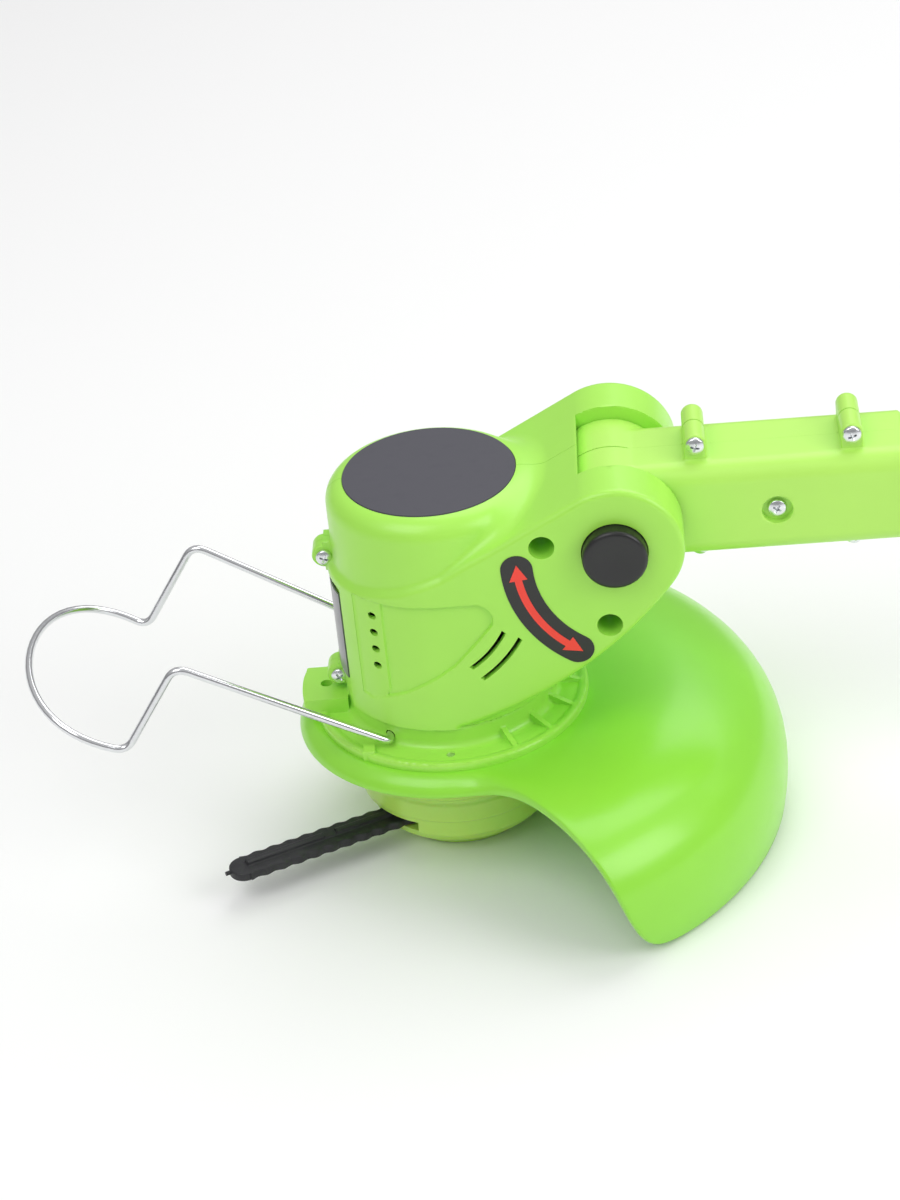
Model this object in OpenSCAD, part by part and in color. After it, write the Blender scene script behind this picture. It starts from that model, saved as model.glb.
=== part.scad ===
// Cordless grass trimmer: tilting cutter head with a snap-on plastic blade, telescopic pole,
// loop handle and battery. Units are millimetres. The origin is where the motor axis meets the
// ground under the cutter hub; +X runs along the pole to the handle and +Z is up.

/* [Head] */
// Radius of the head's side shells round the motor
head_r = 36; // [35.8:0.1:36.2]
// Height of the flat top of the head above the ground
head_top = 130.5; // [129.5:0.5:131]
// Height of the head shells' bottom edge
head_bottom = 54.5; // [54:0.5:55]
// Wall thickness of the moulded casings
wall = 2.6; // [2.2:0.1:2.8]

/* [Hinge] */
// Distance from the motor axis to the tilt hinge
hinge_x = 57.8; // [57.5:0.1:58.1]
// Height of the tilt hinge
hinge_z = 117; // [116.5:0.5:117.5]
// Radius of the hinge ears
ear_r = 22; // [21.5:0.5:22]
// Half the gap between the two ears
ear_gap = 19; // [19:0.1:19.2]

/* [Cutter] */
// Radius of the cutter hub
hub_r = 34.5; // [34:0.5:35]
// Length of the plastic blade from its pin to its tip
blade_len = 76; // [70:1:80]
// Direction of the blade at rest, seen from above
blade_dir = 206; // [200:1:212]

/* [Guard] */
// Radius of the guard's rear rim on the ground
guard_r = 108.5; // [105:0.5:110]
// Thickness of the guard's moulded skirt
guard_t = 3; // [2.6:0.1:3.4]

/* [Arm and pole] */
// Distance from the hinge to the end of the arm
arm_len = 94; // [90:1:96]
// Outer radius of the inner pole tube
inner_tube_r = 11; // [11:0.5:11]
// Where the outer pole tube starts
outer_tube_x = 330; // [320:5:340]
// Where the outer pole tube ends, inside the handle
outer_tube_end = 690; // [680:5:695]

/* [Handle and battery] */
// Half width of the main handle
handle_half_w = 17; // [16:0.5:18]
// Half width of the battery pack
battery_half_w = 36; // [36:0.5:38]
// Length of the battery pack
battery_len = 100; // [99:1:102]

/* [Hidden] */

green = [0.60, 0.88, 0.32];
arm_green = [0.68, 0.92, 0.38];
guard_green = [0.52, 0.84, 0.20];
black = [0.20, 0.20, 0.21];
dark_grey = [0.40, 0.40, 0.44];
steel = [0.72, 0.73, 0.75];
eps = 0.01;
big = 400;
fine = 96;

// ---- shared geometry --------------------------------------------------------------------------
// Points of an arc of radius r round c, from angle a0 to a1
function arc(c, r, a0, a1, n = 12) =
    [for (i = [0:n]) c + r * [cos(a0 + (a1 - a0) * i / n), sin(a0 + (a1 - a0) * i / n)]];

// Outline of a w by h rectangle centred on c, with corner radius r
function round_rect(c, w, h, r) = concat(
    arc(c + [w / 2 - r, h / 2 - r], r, 0, 90, 6), arc(c + [r - w / 2, h / 2 - r], r, 90, 180, 6),
    arc(c + [r - w / 2, r - h / 2], r, 180, 270, 6), arc(c + [w / 2 - r, r - h / 2], r, 270, 360, 6));

// Point at u (0 to 1) on a clamped uniform cubic B-spline through the control list p
function blend4(a, b, c, d, t) = (pow(1 - t, 3) * a + (3 * pow(t, 3) - 6 * t * t + 4) * b
    + (3 * t * (1 + t - t * t) + 1) * c + pow(t, 3) * d) / 6;
function pick(p, i) = p[min(max(i, 0), len(p) - 1)];
function spline(p, u) = let (s = u * (len(p) + 1), k = min(floor(s), len(p)), t = s - k)
    blend4(pick(p, k - 2), pick(p, k - 1), pick(p, k), pick(p, k + 1), t);

// Outline in x and z, extruded across y from y0 to y1
module slab(points, y0, y1) {
    translate([0, y1, 0]) rotate([90, 0, 0]) linear_extrude(y1 - y0) polygon(points);
}

// Cylinder along y
module cyl_y(x, z, r, y0, y1, n = 48) {
    translate([x, y1, z]) rotate([90, 0, 0]) cylinder(r = r, h = y1 - y0, $fn = n);
}

// Cylinder along x
module cyl_x(x0, x1, r, y = 0, z = hinge_z, n = 64) {
    translate([x0, y, z]) rotate([0, 90, 0]) cylinder(r = r, h = x1 - x0, $fn = n);
}

module ring(r_out, r_in, z0, z1, n = fine) {
    difference() {
        translate([0, 0, z0]) cylinder(r = r_out, h = z1 - z0, $fn = n);
        translate([0, 0, z0 - 1]) cylinder(r = r_in, h = z1 - z0 + 2, $fn = n);
    }
}

// Self-tapping screw along y with its cross-recessed head at y0, pointing to +y
module screw_y(x, z, y0, length, head_r = 2.8, shank_r = 1.4) {
    difference() {
        union() {
            cyl_y(x, z, head_r, y0, y0 + 2, 32);
            cyl_y(x, z, shank_r, y0 + 2 - eps, y0 + length, 24);
        }
        translate([x - 1.5, y0 - 1, z - 0.35]) cube([3, 2, 0.7]);
        translate([x - 0.35, y0 - 1, z - 1.5]) cube([0.7, 2, 3]);
    }
}

// Coil spring stand-in: a thin sleeve of the coil's outer and inner size
module spring_sleeve(r, wire, h) {
    difference() {
        cylinder(r = r, h = h, $fn = 32);
        translate([0, 0, -1]) cylinder(r = r - wire, h = h + 2, $fn = 32);
    }
}

module near_side() {
    intersection() {
        children();
        translate([-big, -big, -big]) cube([4 * big, big, 2 * big]);
    }
}

module far_side() {
    intersection() {
        children();
        translate([-big, 0, -big]) cube([4 * big, big, 2 * big]);
    }
}

// ---- head casing ------------------------------------------------------------------------------
dome_r = 34;
core_r = 34.7;
core_top = 103;
shoulder = 7;
plate_c = [-33.8, 186.5];  // centre of the long arc under the side plates
plate_arc_r = 137;
hinge = [hinge_x, hinge_z];
window_half = 17;
deep_holes = [[35.1, 120.7], [54.6, 90.5]];
deep_hole_r = 4.1;
lug_x = -36.4;
vent_x = -20.9;
lugs = [104, 58];
trunnion_r = 12;
button_bore_r = 10.5;
slot_x = hinge_x - 10;
barrel_r = 17.8;

// Side view of the casing, shrunk by inset
function side_outline(inset) = concat(
    arc(plate_c, plate_arc_r - inset, 286, 322.8, 14),
    arc(hinge, ear_r - inset, -37.2, 116.5, 24),
    [[2.5, 111.2 - inset * 1.1], [0, 110 - inset * 1.1], [0, head_bottom + inset]]);

module dome() {
    rotate_extrude($fn = fine) polygon(concat(
        [[0, head_bottom], [core_r, head_bottom], [core_r, core_top - 4], [dome_r, core_top]],
        arc([dome_r - shoulder, head_top - shoulder], shoulder, 0, 90, 8), [[0, head_top]]));
}

// The side shells, proud of the dome, with a gap at the front for the label
module side_shell() {
    difference() {
        intersection() {
            translate([0, 0, head_bottom]) cylinder(r = head_r, h = 60, $fn = fine);
            slab([[-40, 50], [5, 50], [5, 112.5], [2.5, 111.2], [-12, 106], [-26, core_top],
                [-40, core_top]], -40, 40);
        }
        translate([-50, -window_half, 50]) cube([30, 2 * window_half, 49]);
    }
}

module head_outer() {
    dome();
    side_shell();
    slab(side_outline(0), -head_r, head_r);
    for (z = lugs) {
        cyl_y(lug_x, z, 4, -4, 4);
        translate([lug_x, -4, max(z - 5.5, head_bottom)]) cube([12, 8, 8.5]);
    }
}

module head_cavity() {
    translate([0, 0, head_bottom - 1]) cylinder(r = 33.3, h = 45, $fn = fine);
    translate([0, 0, 98]) cylinder(r = 31, h = head_top - wall - 98, $fn = fine);
    difference() {
        slab(side_outline(wall), -head_r + wall, head_r - wall);
        cyl_y(hinge_x, hinge_z, barrel_r + 3.2, -ear_gap - wall, ear_gap + wall);
        translate([slot_x - wall, -ear_gap - wall, 97 - wall]) cube([60, 2 * (ear_gap + wall), 60]);
        cyl_y(hinge_x, hinge_z, trunnion_r + 1.2, -head_r, head_r);
        for (h = deep_holes) cyl_y(h[0], h[1], deep_hole_r + 1.8, -head_r, head_r);
    }
}

module head_casing() {
    difference() {
        union() {
            difference() {
                head_outer();
                head_cavity();
                cyl_y(hinge_x, hinge_z, barrel_r + 0.6, -ear_gap, ear_gap, fine);
                translate([slot_x, -ear_gap, 97]) cube([60, 2 * ear_gap, 60]);
            }
            for (s = [-1, 1]) {
                cyl_y(hinge_x, hinge_z, trunnion_r, min(s * 13, s * 20), max(s * 13, s * 20), 64);
            }
        }
        cyl_y(hinge_x, hinge_z, button_bore_r, -50, -10, 64);
        cyl_y(hinge_x, hinge_z, button_bore_r, 10, 50, 64);
        for (h = deep_holes) {
            cyl_y(h[0], h[1], deep_hole_r, -40, -20);
            cyl_y(h[0], h[1], 1.6, -21, 30, 24);
        }
        for (z = lugs) {
            cyl_y(lug_x, z, 1.5, -5, 3.2, 24);
            cyl_y(lug_x, z, 3, -8, -4, 32);
        }
        for (s = [-1, 1]) {
            for (z = [76.6 : 6.3 : 97]) cyl_y(vent_x, z, 1.3, min(s * 24, s * 40), max(s * 24, s * 40), 24);
            for (o = [0, 5.2]) translate([15 + o, s * 40, 84 - 0.6 * o]) rotate([0, -48, 0])
                cube([17, 10, 1.2], center = true);
        }
        translate([0, 0, head_bottom - 1]) cylinder(r = 34.5, h = 1.2, $fn = fine);
        rotate_extrude($fn = fine) polygon([[0, head_top - 0.8], [28.1, head_top - 0.8],
            [28.1, head_top + 1], [0, head_top + 1]]);
    }
}

module head_shell_near() {
    color(green) near_side() head_casing();
}

module head_shell_far() {
    color(green) far_side() head_casing();
}

module top_label() {
    color(dark_grey) ring(28, 0, head_top - 0.8, head_top + 0.3);
}

module front_label() {
    color(dark_grey) intersection() {
        ring(core_r + 0.6, core_r, 64, 96);
        translate([-50, -15, 50]) cube([30, 30, 60]);
    }
}

// Decal on the near side plate: an arc band round the hinge with a double-headed arrow
decal_r = 38;
decal_a = [181.5, 237];
decal_c = [hinge_x + 6.9, hinge_z - 2.6];
module arc_band(r, half, a0, a1) {
    polygon(concat(arc(decal_c, r + half, a0, a1, 14),
        arc(decal_c + r * [cos(a1), sin(a1)], half, a1, a1 + 180, 8),
        arc(decal_c, r - half, a1, a0, 14),
        arc(decal_c + r * [cos(a0), sin(a0)], half, a0 - 180, a0, 8)));
}

module arrow_2d() {
    tip = 5.5;
    polygon(concat(arc(decal_c, decal_r + 1.2, decal_a[0] + 3, decal_a[1] - 3, 14),
        arc(decal_c, decal_r - 1.2, decal_a[1] - 3, decal_a[0] + 3, 14)));
    for (e = [[decal_a[0] + 3.2, 90], [decal_a[1] - 3.2, -90]]) {
        translate(decal_c + decal_r * [cos(e[0]), sin(e[0])]) rotate(e[0] - e[1])
            polygon([[-0.2, -2.9], [-0.2, 2.9], [tip, 0]]);
    }
}

module tilt_decal() {
    color(black) translate([0, -head_r, 0]) rotate([90, 0, 0]) linear_extrude(0.2)
        arc_band(decal_r, 5.1, decal_a[0], decal_a[1]);
}

module tilt_arrow() {
    color([1, 0.28, 0.22]) translate([0, -head_r - 0.2, 0]) rotate([90, 0, 0])
        linear_extrude(0.1) arrow_2d();
}

module head_screws() {
    color(steel) {
        for (h = deep_holes) screw_y(h[0], h[1], -22, 34, 3.4, 1.6);
        for (z = lugs) screw_y(lug_x, z, -6, 9, 2.8, 1.5);
    }
}

module pivot_cap() {
    color(green) difference() {
        union() {
            cyl_y(hinge_x, hinge_z, 10.5, 14, 34, 64);
            cyl_y(hinge_x, hinge_z, 10.4, 33, 37.2, 64);
        }
        cyl_y(hinge_x, hinge_z, 8, 13, 30, 48);
    }
}

// ---- collar, guard and wire guard -------------------------------------------------------------
collar_z = 44.8;
mount_z = 57;
wire_r = 1.3;
wire_pivot = [-19.6, 49.3];
wire_half = 37.5;
wire_end_y = 32.6;

module collar() {
    color(green) difference() {
        union() {
            rotate_extrude($fn = fine) polygon([[45.4, collar_z], [45.4, 46.6], [44.4, 47.6],
                [42.6, 47.6], [42, 46.8], [36.5, 46.8], [34.4, 48.6], [34.4, 54.3], [33.2, 54.3],
                [33.2, 70], [30.8, 70], [30.8, 60.2], [6.6, 60.2], [6.6, mount_z], [29.4, mount_z],
                [30.8, 54], [31.4, 47.8], [33, collar_z]]);
            for (a = [-60 : 20 : 60]) rotate([0, 0, a]) translate([34, -0.9, 46]) cube([8.6, 1.8, 2.6]);
            front_tab();
            translate([-28.5, -36, collar_z]) cube([4, 4, 3.4]);
        }
        for (s = [-1, 1]) cyl_y(wire_pivot[0], wire_pivot[1], wire_r + 0.06, min(s * 22, s * 36),
            max(s * 22, s * 36), 24);
        translate([-41.5, 0, 40]) cylinder(r = 2, h = 20, $fn = 32);
        for (a = [30, 150, 270]) rotate([0, 0, a]) {
            translate([38.5, 0, 40]) cylinder(r = 1.4, h = 6.6, $fn = 24);
            translate([12, 0, 50]) cylinder(r = 1.6, h = 12, $fn = 24);
        }
    }
}

module front_tab() {
    difference() {
        intersection() {
            translate([-50, -10, 47]) cube([17, 20, 5.3]);
            translate([0, 0, 40]) cylinder(r = 50, h = 20, $fn = fine);
        }
        translate([-47.5, -7.5, 45]) cube([9, 15, 4.8]);
        translate([0, 0, 40]) cylinder(r = 34, h = 20, $fn = fine);
    }
    difference() {
        translate([-47, -3, 47]) cube([11, 6, 3]);
        translate([-48, -4, 46]) cube([3, 8, 5]);
    }
}

// Half of the guard's free edge as [azimuth, share of the full skirt, drop of the front lip]
guard_edge = [[-180, 0.055, 3.6], [-170, 0.055, 3.6], [-150, 0.055, 3.6], [-130, 0.055, 3.6],
    [-110, 0.055, 3.6], [-96, 0.055, 3.6], [-86, 0.055, 3.6], [-78, 0.075, 3], [-70, 0.18, 1.2],
    [-65.5, 0.42, 0], [-62.5, 0.68, 0], [-60.5, 0.86, 0], [-57, 0.98, 0], [-51, 1, 0],
    [-43, 1, 0], [-30, 1, 0], [-15, 1, 0], [-5, 1, 0], [0, 1, 0]];
// Profile of the full skirt as radius and height: four points of a Bezier curve
skirt = [[45.6, collar_z], [75, 51.5], [119, 50.5], [guard_r, 0]];
guard_hole_r = 33.2;
function bezier(p, t) = pow(1 - t, 3) * p[0] + 3 * pow(1 - t, 2) * t * p[1]
    + 3 * (1 - t) * t * t * p[2] + pow(t, 3) * p[3];
function slope(p, t) = 3 * pow(1 - t, 2) * (p[1] - p[0]) + 6 * (1 - t) * t * (p[2] - p[1])
    + 3 * t * t * (p[3] - p[2]);
// One point of the guard: e is a free-edge row, v runs 0 to 1 outward, off moves it inward
function guard_point(e, v, off) = let (t = e[1] * v, q = bezier(skirt, t), d = slope(skirt, t),
    m = d / norm(d), r = q[0] + m[1] * off, z = q[1] - m[0] * off - e[2] * v * v)
    [r * cos(e[0]), r * sin(e[0]), max(z, 0)];
function plate_point(e, z) = [guard_hole_r * cos(e[0]), guard_hole_r * sin(e[0]), z];

module guard() {
    cols = 96;
    rows = 10;
    half = [for (i = [0:cols / 2]) spline(guard_edge, i / (cols / 2))];
    edge = concat(half, [for (i = [1:cols / 2 - 1]) let (e = half[cols / 2 - i]) [-e[0], e[1], e[2]]]);
    n = len(edge);
    loop_n = 2 * (rows + 2);
    // Each column is a closed loop: out along the top face, back along the underside
    points = [for (e = edge) each concat([plate_point(e, collar_z)],
        [for (k = [0:rows]) guard_point(e, k / rows, 0)],
        [for (k = [rows:-1:0]) guard_point(e, k / rows, guard_t)],
        [plate_point(e, collar_z - guard_t)])];
    faces = [for (i = [0:n - 1]) for (k = [0:loop_n - 1]) let (a = i * loop_n + k,
        b = i * loop_n + (k + 1) % loop_n, c = ((i + 1) % n) * loop_n + (k + 1) % loop_n,
        d = ((i + 1) % n) * loop_n + k) each [[a, b, c], [a, c, d]]];
    color(guard_green) difference() {
        polyhedron(points, faces, convexity = 6);
        for (a = [30, 150, 270]) rotate([0, 0, a]) translate([38.5, 0, 30])
            cylinder(r = 1.7, h = 20, $fn = 24);
        translate([-41.5, 0, 30]) cylinder(r = 2.3, h = 20, $fn = 32);
    }
}

module guard_screws() {
    color(steel) for (a = [30, 150, 270]) rotate([0, 0, a]) translate([38.5, 0, 0]) {
        translate([0, 0, collar_z - 5]) cylinder(r = 2.7, h = 2, $fn = 32);
        translate([0, 0, collar_z - 3.1]) cylinder(r = 1.4, h = 4.6, $fn = 24);
    }
}

// Route of the bent wire: one pivot end, a zigzag leg, the front loop and back
loop_c = [-104.6, 0, 56];
loop_tilt = 26.5;
leg = [[wire_pivot[0], wire_end_y, wire_pivot[1]], [-85, wire_half, 87]];
function loop_point(a) = loop_c + wire_half
    * [-sin(a) * cos(loop_tilt), cos(a) * (1 + 0.3 * sin(a)), sin(a) * sin(loop_tilt)];
// Three points that round the corner b between a and c
function bend(a, b, c, r = 4) = let (u = (a - b) / norm(a - b), v = (c - b) / norm(c - b))
    [b + r * u, b + 0.3 * r * (u + v), b + r * v];
wire_route = concat([leg[0]], bend(leg[0], leg[1], loop_point(0)),
    bend(leg[1], loop_point(0), loop_point(8)), [for (a = [8:8:172]) loop_point(a)],
    bend(loop_point(172), loop_point(180), mirror_y(leg[1])),
    bend(loop_point(180), mirror_y(leg[1]), mirror_y(leg[0])), [mirror_y(leg[0])]);
function mirror_y(p) = [p[0], -p[1], p[2]];
function unit(v) = v / norm(v);
function tangent(p, i) = unit(unit(p[min(i + 1, len(p) - 1)] - p[max(i, 0)] + [0, 0, 1e-9])
    + unit(p[i] - p[max(i - 1, 0)] + [0, 0, 1e-9]));
// Side vectors carried along the route without twist
function side_vectors(p, i, u) = let (t = tangent(p, i), w = unit(u - (u * t) * t))
    i == len(p) - 1 ? [w] : concat([w], side_vectors(p, i + 1, w));

module wire_guard() {
    sides = 10;
    n = len(wire_route);
    across = side_vectors(wire_route, 0, [0, 1, 0]);
    points = [for (i = [0:n - 1]) let (u = across[i], w = cross(tangent(wire_route, i), u))
        for (k = [0:sides - 1]) let (a = 360 * k / sides)
            wire_route[i] + wire_r * (cos(a) * u + sin(a) * w)];
    walls = [for (i = [0:n - 2]) for (k = [0:sides - 1]) let (a = i * sides + k,
        b = i * sides + (k + 1) % sides, c = b + sides, d = a + sides) each [[a, c, b], [a, d, c]]];
    caps = [for (k = [1:sides - 2]) each [[0, k, k + 1],
        [(n - 1) * sides, (n - 1) * sides + k + 1, (n - 1) * sides + k]]];
    color(steel) {
        polyhedron(points, concat(walls, caps), convexity = 8);
        for (s = [-1, 1]) cyl_y(wire_pivot[0], wire_pivot[1], wire_r, min(s * 23.4, s * 33.9),
            max(s * 23.4, s * 33.9), 24);
    }
}

// ---- motor and cutter -------------------------------------------------------------------------
can_r = 21;
can_top = 112;
shaft_r = 2.5;

module motor_can() {
    color(steel) difference() {
        translate([0, 0, 60.2]) cylinder(r = can_r, h = can_top - 60.2, $fn = 64);
        translate([0, 0, 62.2]) cylinder(r = can_r - 1.6, h = 60, $fn = 64);
        translate([0, 0, 55]) cylinder(r = 6, h = 10, $fn = 48);
        for (a = [30, 150, 270]) rotate([0, 0, a]) translate([12, 0, 55])
            cylinder(r = 1.4, h = 10, $fn = 24);
    }
}

module motor_magnets() {
    color([0.3, 0.3, 0.32]) difference() {
        ring(can_r - 1.6, 16.4, 68, 104, 64);
        for (s = [0, 1]) rotate([0, 0, 90 + 180 * s]) translate([0, -5, 60]) cube([30, 10, 50]);
    }
}

module motor_end_cap() {
    color(black) difference() {
        union() {
            translate([0, 0, can_top]) cylinder(r = can_r, h = 4, $fn = 64);
            translate([0, 0, can_top - 5]) cylinder(r = can_r - 1.6, h = 6, $fn = 64);
            translate([0, 0, can_top]) cylinder(r = 8, h = 8, $fn = 48);
        }
        translate([0, 0, 100]) cylinder(r = 6, h = 30, $fn = 48);
    }
}

module shaft_bushes() {
    color([0.75, 0.55, 0.30]) {
        ring(6, shaft_r + 0.03, 57.6, 64.5, 48);
        ring(6, shaft_r + 0.03, 108, 118, 48);
    }
}

module motor_screws() {
    color(steel) for (a = [30, 150, 270]) rotate([0, 0, a]) translate([12, 0, 0]) {
        translate([0, 0, mount_z - 2]) cylinder(r = 2.6, h = 2, $fn = 32);
        translate([0, 0, mount_z - 0.1]) cylinder(r = 1.4, h = 5, $fn = 24);
    }
}

module rotor() {
    color([0.55, 0.45, 0.35]) difference() {
        union() {
            translate([0, 0, 70]) cylinder(r = 15.9, h = 32, $fn = 64);
            translate([0, 0, 102]) cylinder(r = 5.5, h = 5, $fn = 32);
        }
        translate([0, 0, 60]) cylinder(r = shaft_r, h = 60, $fn = 32);
        for (a = [0:45:315]) rotate([0, 0, a]) translate([11, -0.9, 65]) cube([8, 1.8, 36]);
    }
}

module motor_shaft() {
    color(steel) translate([0, 0, 8]) cylinder(r = shaft_r, h = 112, $fn = 32);
}

hub_base = 16;
pin_at = [-7.5, -13.4];
blade_z = 9.4;
module hub() {
    color(green) difference() {
        union() {
            rotate_extrude($fn = fine) polygon([[shaft_r, hub_base], [hub_r - 1, hub_base],
                [hub_r - 0.4, hub_base + 0.6], [hub_r - 0.2, 23], [hub_r - 0.9, 24.2],
                [hub_r, 25.4], [hub_r - 0.2, 31.4], [hub_r - 1.4, 33], [hub_r - 3, 33],
                [hub_r - 3, 19], [7, 19], [7, 36], [shaft_r, 36]]);
            for (a = [0:60:300]) rotate([0, 0, a]) translate([6, -0.8, 18]) cube([24, 1.6, 9]);
        }
        translate([pin_at[0], pin_at[1], 10]) cylinder(r = pin_r, h = 8, $fn = 32);
    }
}

// Stepped cover under the hub, cut away where the blade swings
pin_r = 2.6;
module hub_cover() {
    color(green) difference() {
        rotate_extrude($fn = fine) polygon([[0, 0], [22, 0], [23.8, 1], [25.2, 3.6], [27.8, 4.6],
            [29.6, 6], [30.2, 8.4], [32.2, 9.6], [33.2, 11.4], [33.5, hub_base], [0, hub_base]]);
        translate([0, 0, blade_z - 0.6]) linear_extrude(5.6) polygon(concat([pin_at + [6, 6]],
            arc([0, 0], 45, 160, 240, 10), [pin_at + [8, -2]]));
        translate([0, 0, 8]) cylinder(r = 6, h = 20, $fn = 48);
        translate([pin_at[0], pin_at[1], 7]) cylinder(r = pin_r, h = 12, $fn = 32);
    }
}

module hub_nut() {
    color(steel) difference() {
        translate([0, 0, 11]) cylinder(r = 5, h = 5, $fn = 6);
        translate([0, 0, 5]) cylinder(r = shaft_r, h = 20, $fn = 32);
    }
}

module blade_pin() {
    color(steel) translate([pin_at[0], pin_at[1], 7]) cylinder(r = pin_r, h = 11, $fn = 32);
}

// Moulded blade: a flat bar with scalloped edges, a ridge along the middle and a round tip
module blade() {
    half_w = 5.6;
    color([0.28, 0.28, 0.31]) translate([pin_at[0], pin_at[1], blade_z]) rotate([0, 0, blade_dir])
    difference() {
        union() {
            difference() {
                linear_extrude(3) polygon(concat([[0, -half_w + 0.6], [0, half_w - 0.6]],
                    [for (x = [8:1.5:blade_len - 6]) [x, half_w - 0.35 * (1 - cos(x * 61))]],
                    arc([blade_len - 5, 0], 5, 80, -80, 8),
                    [for (x = [blade_len - 6:-1.5:8]) [x, -half_w + 0.35 * (1 - cos(x * 61))]]));
            }
            cylinder(r = 5.4, h = 4.4, $fn = 48);
            translate([2, -1.2, 0]) cube([blade_len - 8, 2.4, 4.4]);
        }
        translate([0, 0, -1]) cylinder(r = pin_r + 0.06, h = 12, $fn = 32);
        translate([40, 0, 3.6]) cylinder(r = 2.4, h = 4, $fn = 32);
    }
}

// ---- tilt lock --------------------------------------------------------------------------------
module tilt_button() {
    color(black) difference() {
        union() {
            cyl_y(hinge_x, hinge_z, 9.3, -41, -39.8, 64);
            cyl_y(hinge_x, hinge_z, 10.3, -40, -23, 64);
            cyl_y(hinge_x, hinge_z, 3, -24, -9, 32);
        }
        cyl_y(hinge_x, hinge_z, 8, -34, -22, 48);
    }
    color(black) cyl_y(hinge_x, hinge_z, 3, -35, -9, 32);
}

module lock_ring() {
    color(steel) difference() {
        union() {
            cyl_y(hinge_x, hinge_z, 8.2, -19, -9, 48);
            for (a = [0:30:330]) translate([hinge_x, 0, hinge_z]) rotate([0, a, 0])
                translate([7.6, -19, -1]) cube([2.4, 10, 2]);
        }
        cyl_y(hinge_x, hinge_z, 3, -20, -8, 32);
    }
}

module button_spring() {
    color(steel) translate([hinge_x, 13.8, hinge_z]) rotate([90, 0, 0])
        spring_sleeve(6.4, 0.9, 22.6);
}

// ---- arm --------------------------------------------------------------------------------------
arm_half_w = 17;
arm_low = -16;
arm_high = 16.6;
arm_end = hinge_x + arm_len;
top_lugs = [hinge_x + 27.3, hinge_x + 76.6];
side_screw_x = hinge_x + 52;

module arm_box(x0, x1, inset) {
    h = arm_high - arm_low;
    translate([x0, 0, hinge_z + (arm_high + arm_low) / 2]) rotate([90, 0, 90])
        linear_extrude(x1 - x0)
        polygon(round_rect([0, 0], 2 * (arm_half_w - inset), h - 2 * inset, 7 - inset));
}

module arm_solid() {
    difference() {
        union() {
            arm_box(hinge_x, arm_end, 0);
            cyl_y(hinge_x, hinge_z, barrel_r, -ear_gap + 0.3, ear_gap - 0.3, fine);
            for (x = top_lugs) {
                cyl_y(x, hinge_z + 22, 3.5, -10.5, 10.5);
                translate([x - 3.5, -10.5, hinge_z + 10]) cube([7, 21, 12]);
                cyl_y(x, hinge_z - 17.5, 3.5, -6, 6);
                translate([x - 3.5, -6, hinge_z - 17.5]) cube([7, 12, 8]);
            }
        }
        for (s = [-1, 1]) cyl_y(hinge_x, hinge_z, trunnion_r + 0.06, min(s * 12.7, s * 20),
            max(s * 12.7, s * 20), 64);
        cyl_y(hinge_x, hinge_z, 10.3, -13, 13.9, 48);
        difference() {
            arm_box(hinge_x + 20, arm_end - 3, wall);
            for (x = [hinge_x + 27, hinge_x + 76]) translate([x, -20, 90]) cube([3, 40, 60]);
        }
        cyl_x(hinge_x + 30, arm_end + 1, inner_tube_r);
        for (x = top_lugs) {
            cyl_y(x, hinge_z + 22, 1.4, -12, 8, 24);
            cyl_y(x, hinge_z - 17.5, 1.4, -12, 5.5, 24);
            cyl_y(x, hinge_z - 17.5, 3, -16, -6, 32);
        }
        cyl_y(side_screw_x, hinge_z, 4.9, -20, -14.5, 32);
        cyl_y(side_screw_x, hinge_z, 1.4, -16, 15, 24);
    }
    difference() {
        cyl_y(side_screw_x, hinge_z, 6, -15.6, 15.6, 32);
        cyl_y(side_screw_x, hinge_z, 4.9, -20, -14.5, 32);
        cyl_y(side_screw_x, hinge_z, 1.4, -16, 15, 24);
        cyl_x(hinge_x + 30, arm_end, inner_tube_r);
    }
}

module arm_near() {
    color(arm_green) near_side() arm_solid();
}

module arm_far() {
    color(arm_green) far_side() arm_solid();
}

module arm_screws() {
    color(steel) {
        for (x = top_lugs) {
            screw_y(x, hinge_z + 22, -12.5, 19);
            screw_y(x, hinge_z - 17.5, -8, 12.5);
        }
        screw_y(side_screw_x, hinge_z, -16.6, 29, 2.9);
    }
}

// ---- pole -------------------------------------------------------------------------------------
pole_overlap_end = 575;
outer_tube_r = 12.6;

module inner_tube() {
    color([0.80, 0.81, 0.83]) difference() {
        cyl_x(hinge_x + 31, pole_overlap_end, inner_tube_r);
        cyl_x(hinge_x, pole_overlap_end + 1, inner_tube_r - 1);
        cyl_y(side_screw_x, hinge_z, 6.05, -20, 20, 32);
    }
}

module outer_tube() {
    color([0.25, 0.25, 0.27]) difference() {
        cyl_x(outer_tube_x, outer_tube_end, outer_tube_r);
        cyl_x(outer_tube_x - 1, outer_tube_end + 1, inner_tube_r + 0.4);
    }
}

module tube_collet() {
    color(black) difference() {
        union() {
            cyl_x(outer_tube_x - 16, outer_tube_x, 12.8);
            cyl_x(outer_tube_x - 1, outer_tube_x + 20, 14);
        }
        cyl_x(outer_tube_x - 20, outer_tube_x + eps, inner_tube_r + 0.06);
        cyl_x(outer_tube_x, outer_tube_x + 25, outer_tube_r);
        for (a = [45:90:315]) translate([0, 0, hinge_z]) rotate([a, 0, 0])
            translate([outer_tube_x - 20, -0.6, 5]) cube([15, 1.2, 20]);
    }
}

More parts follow.
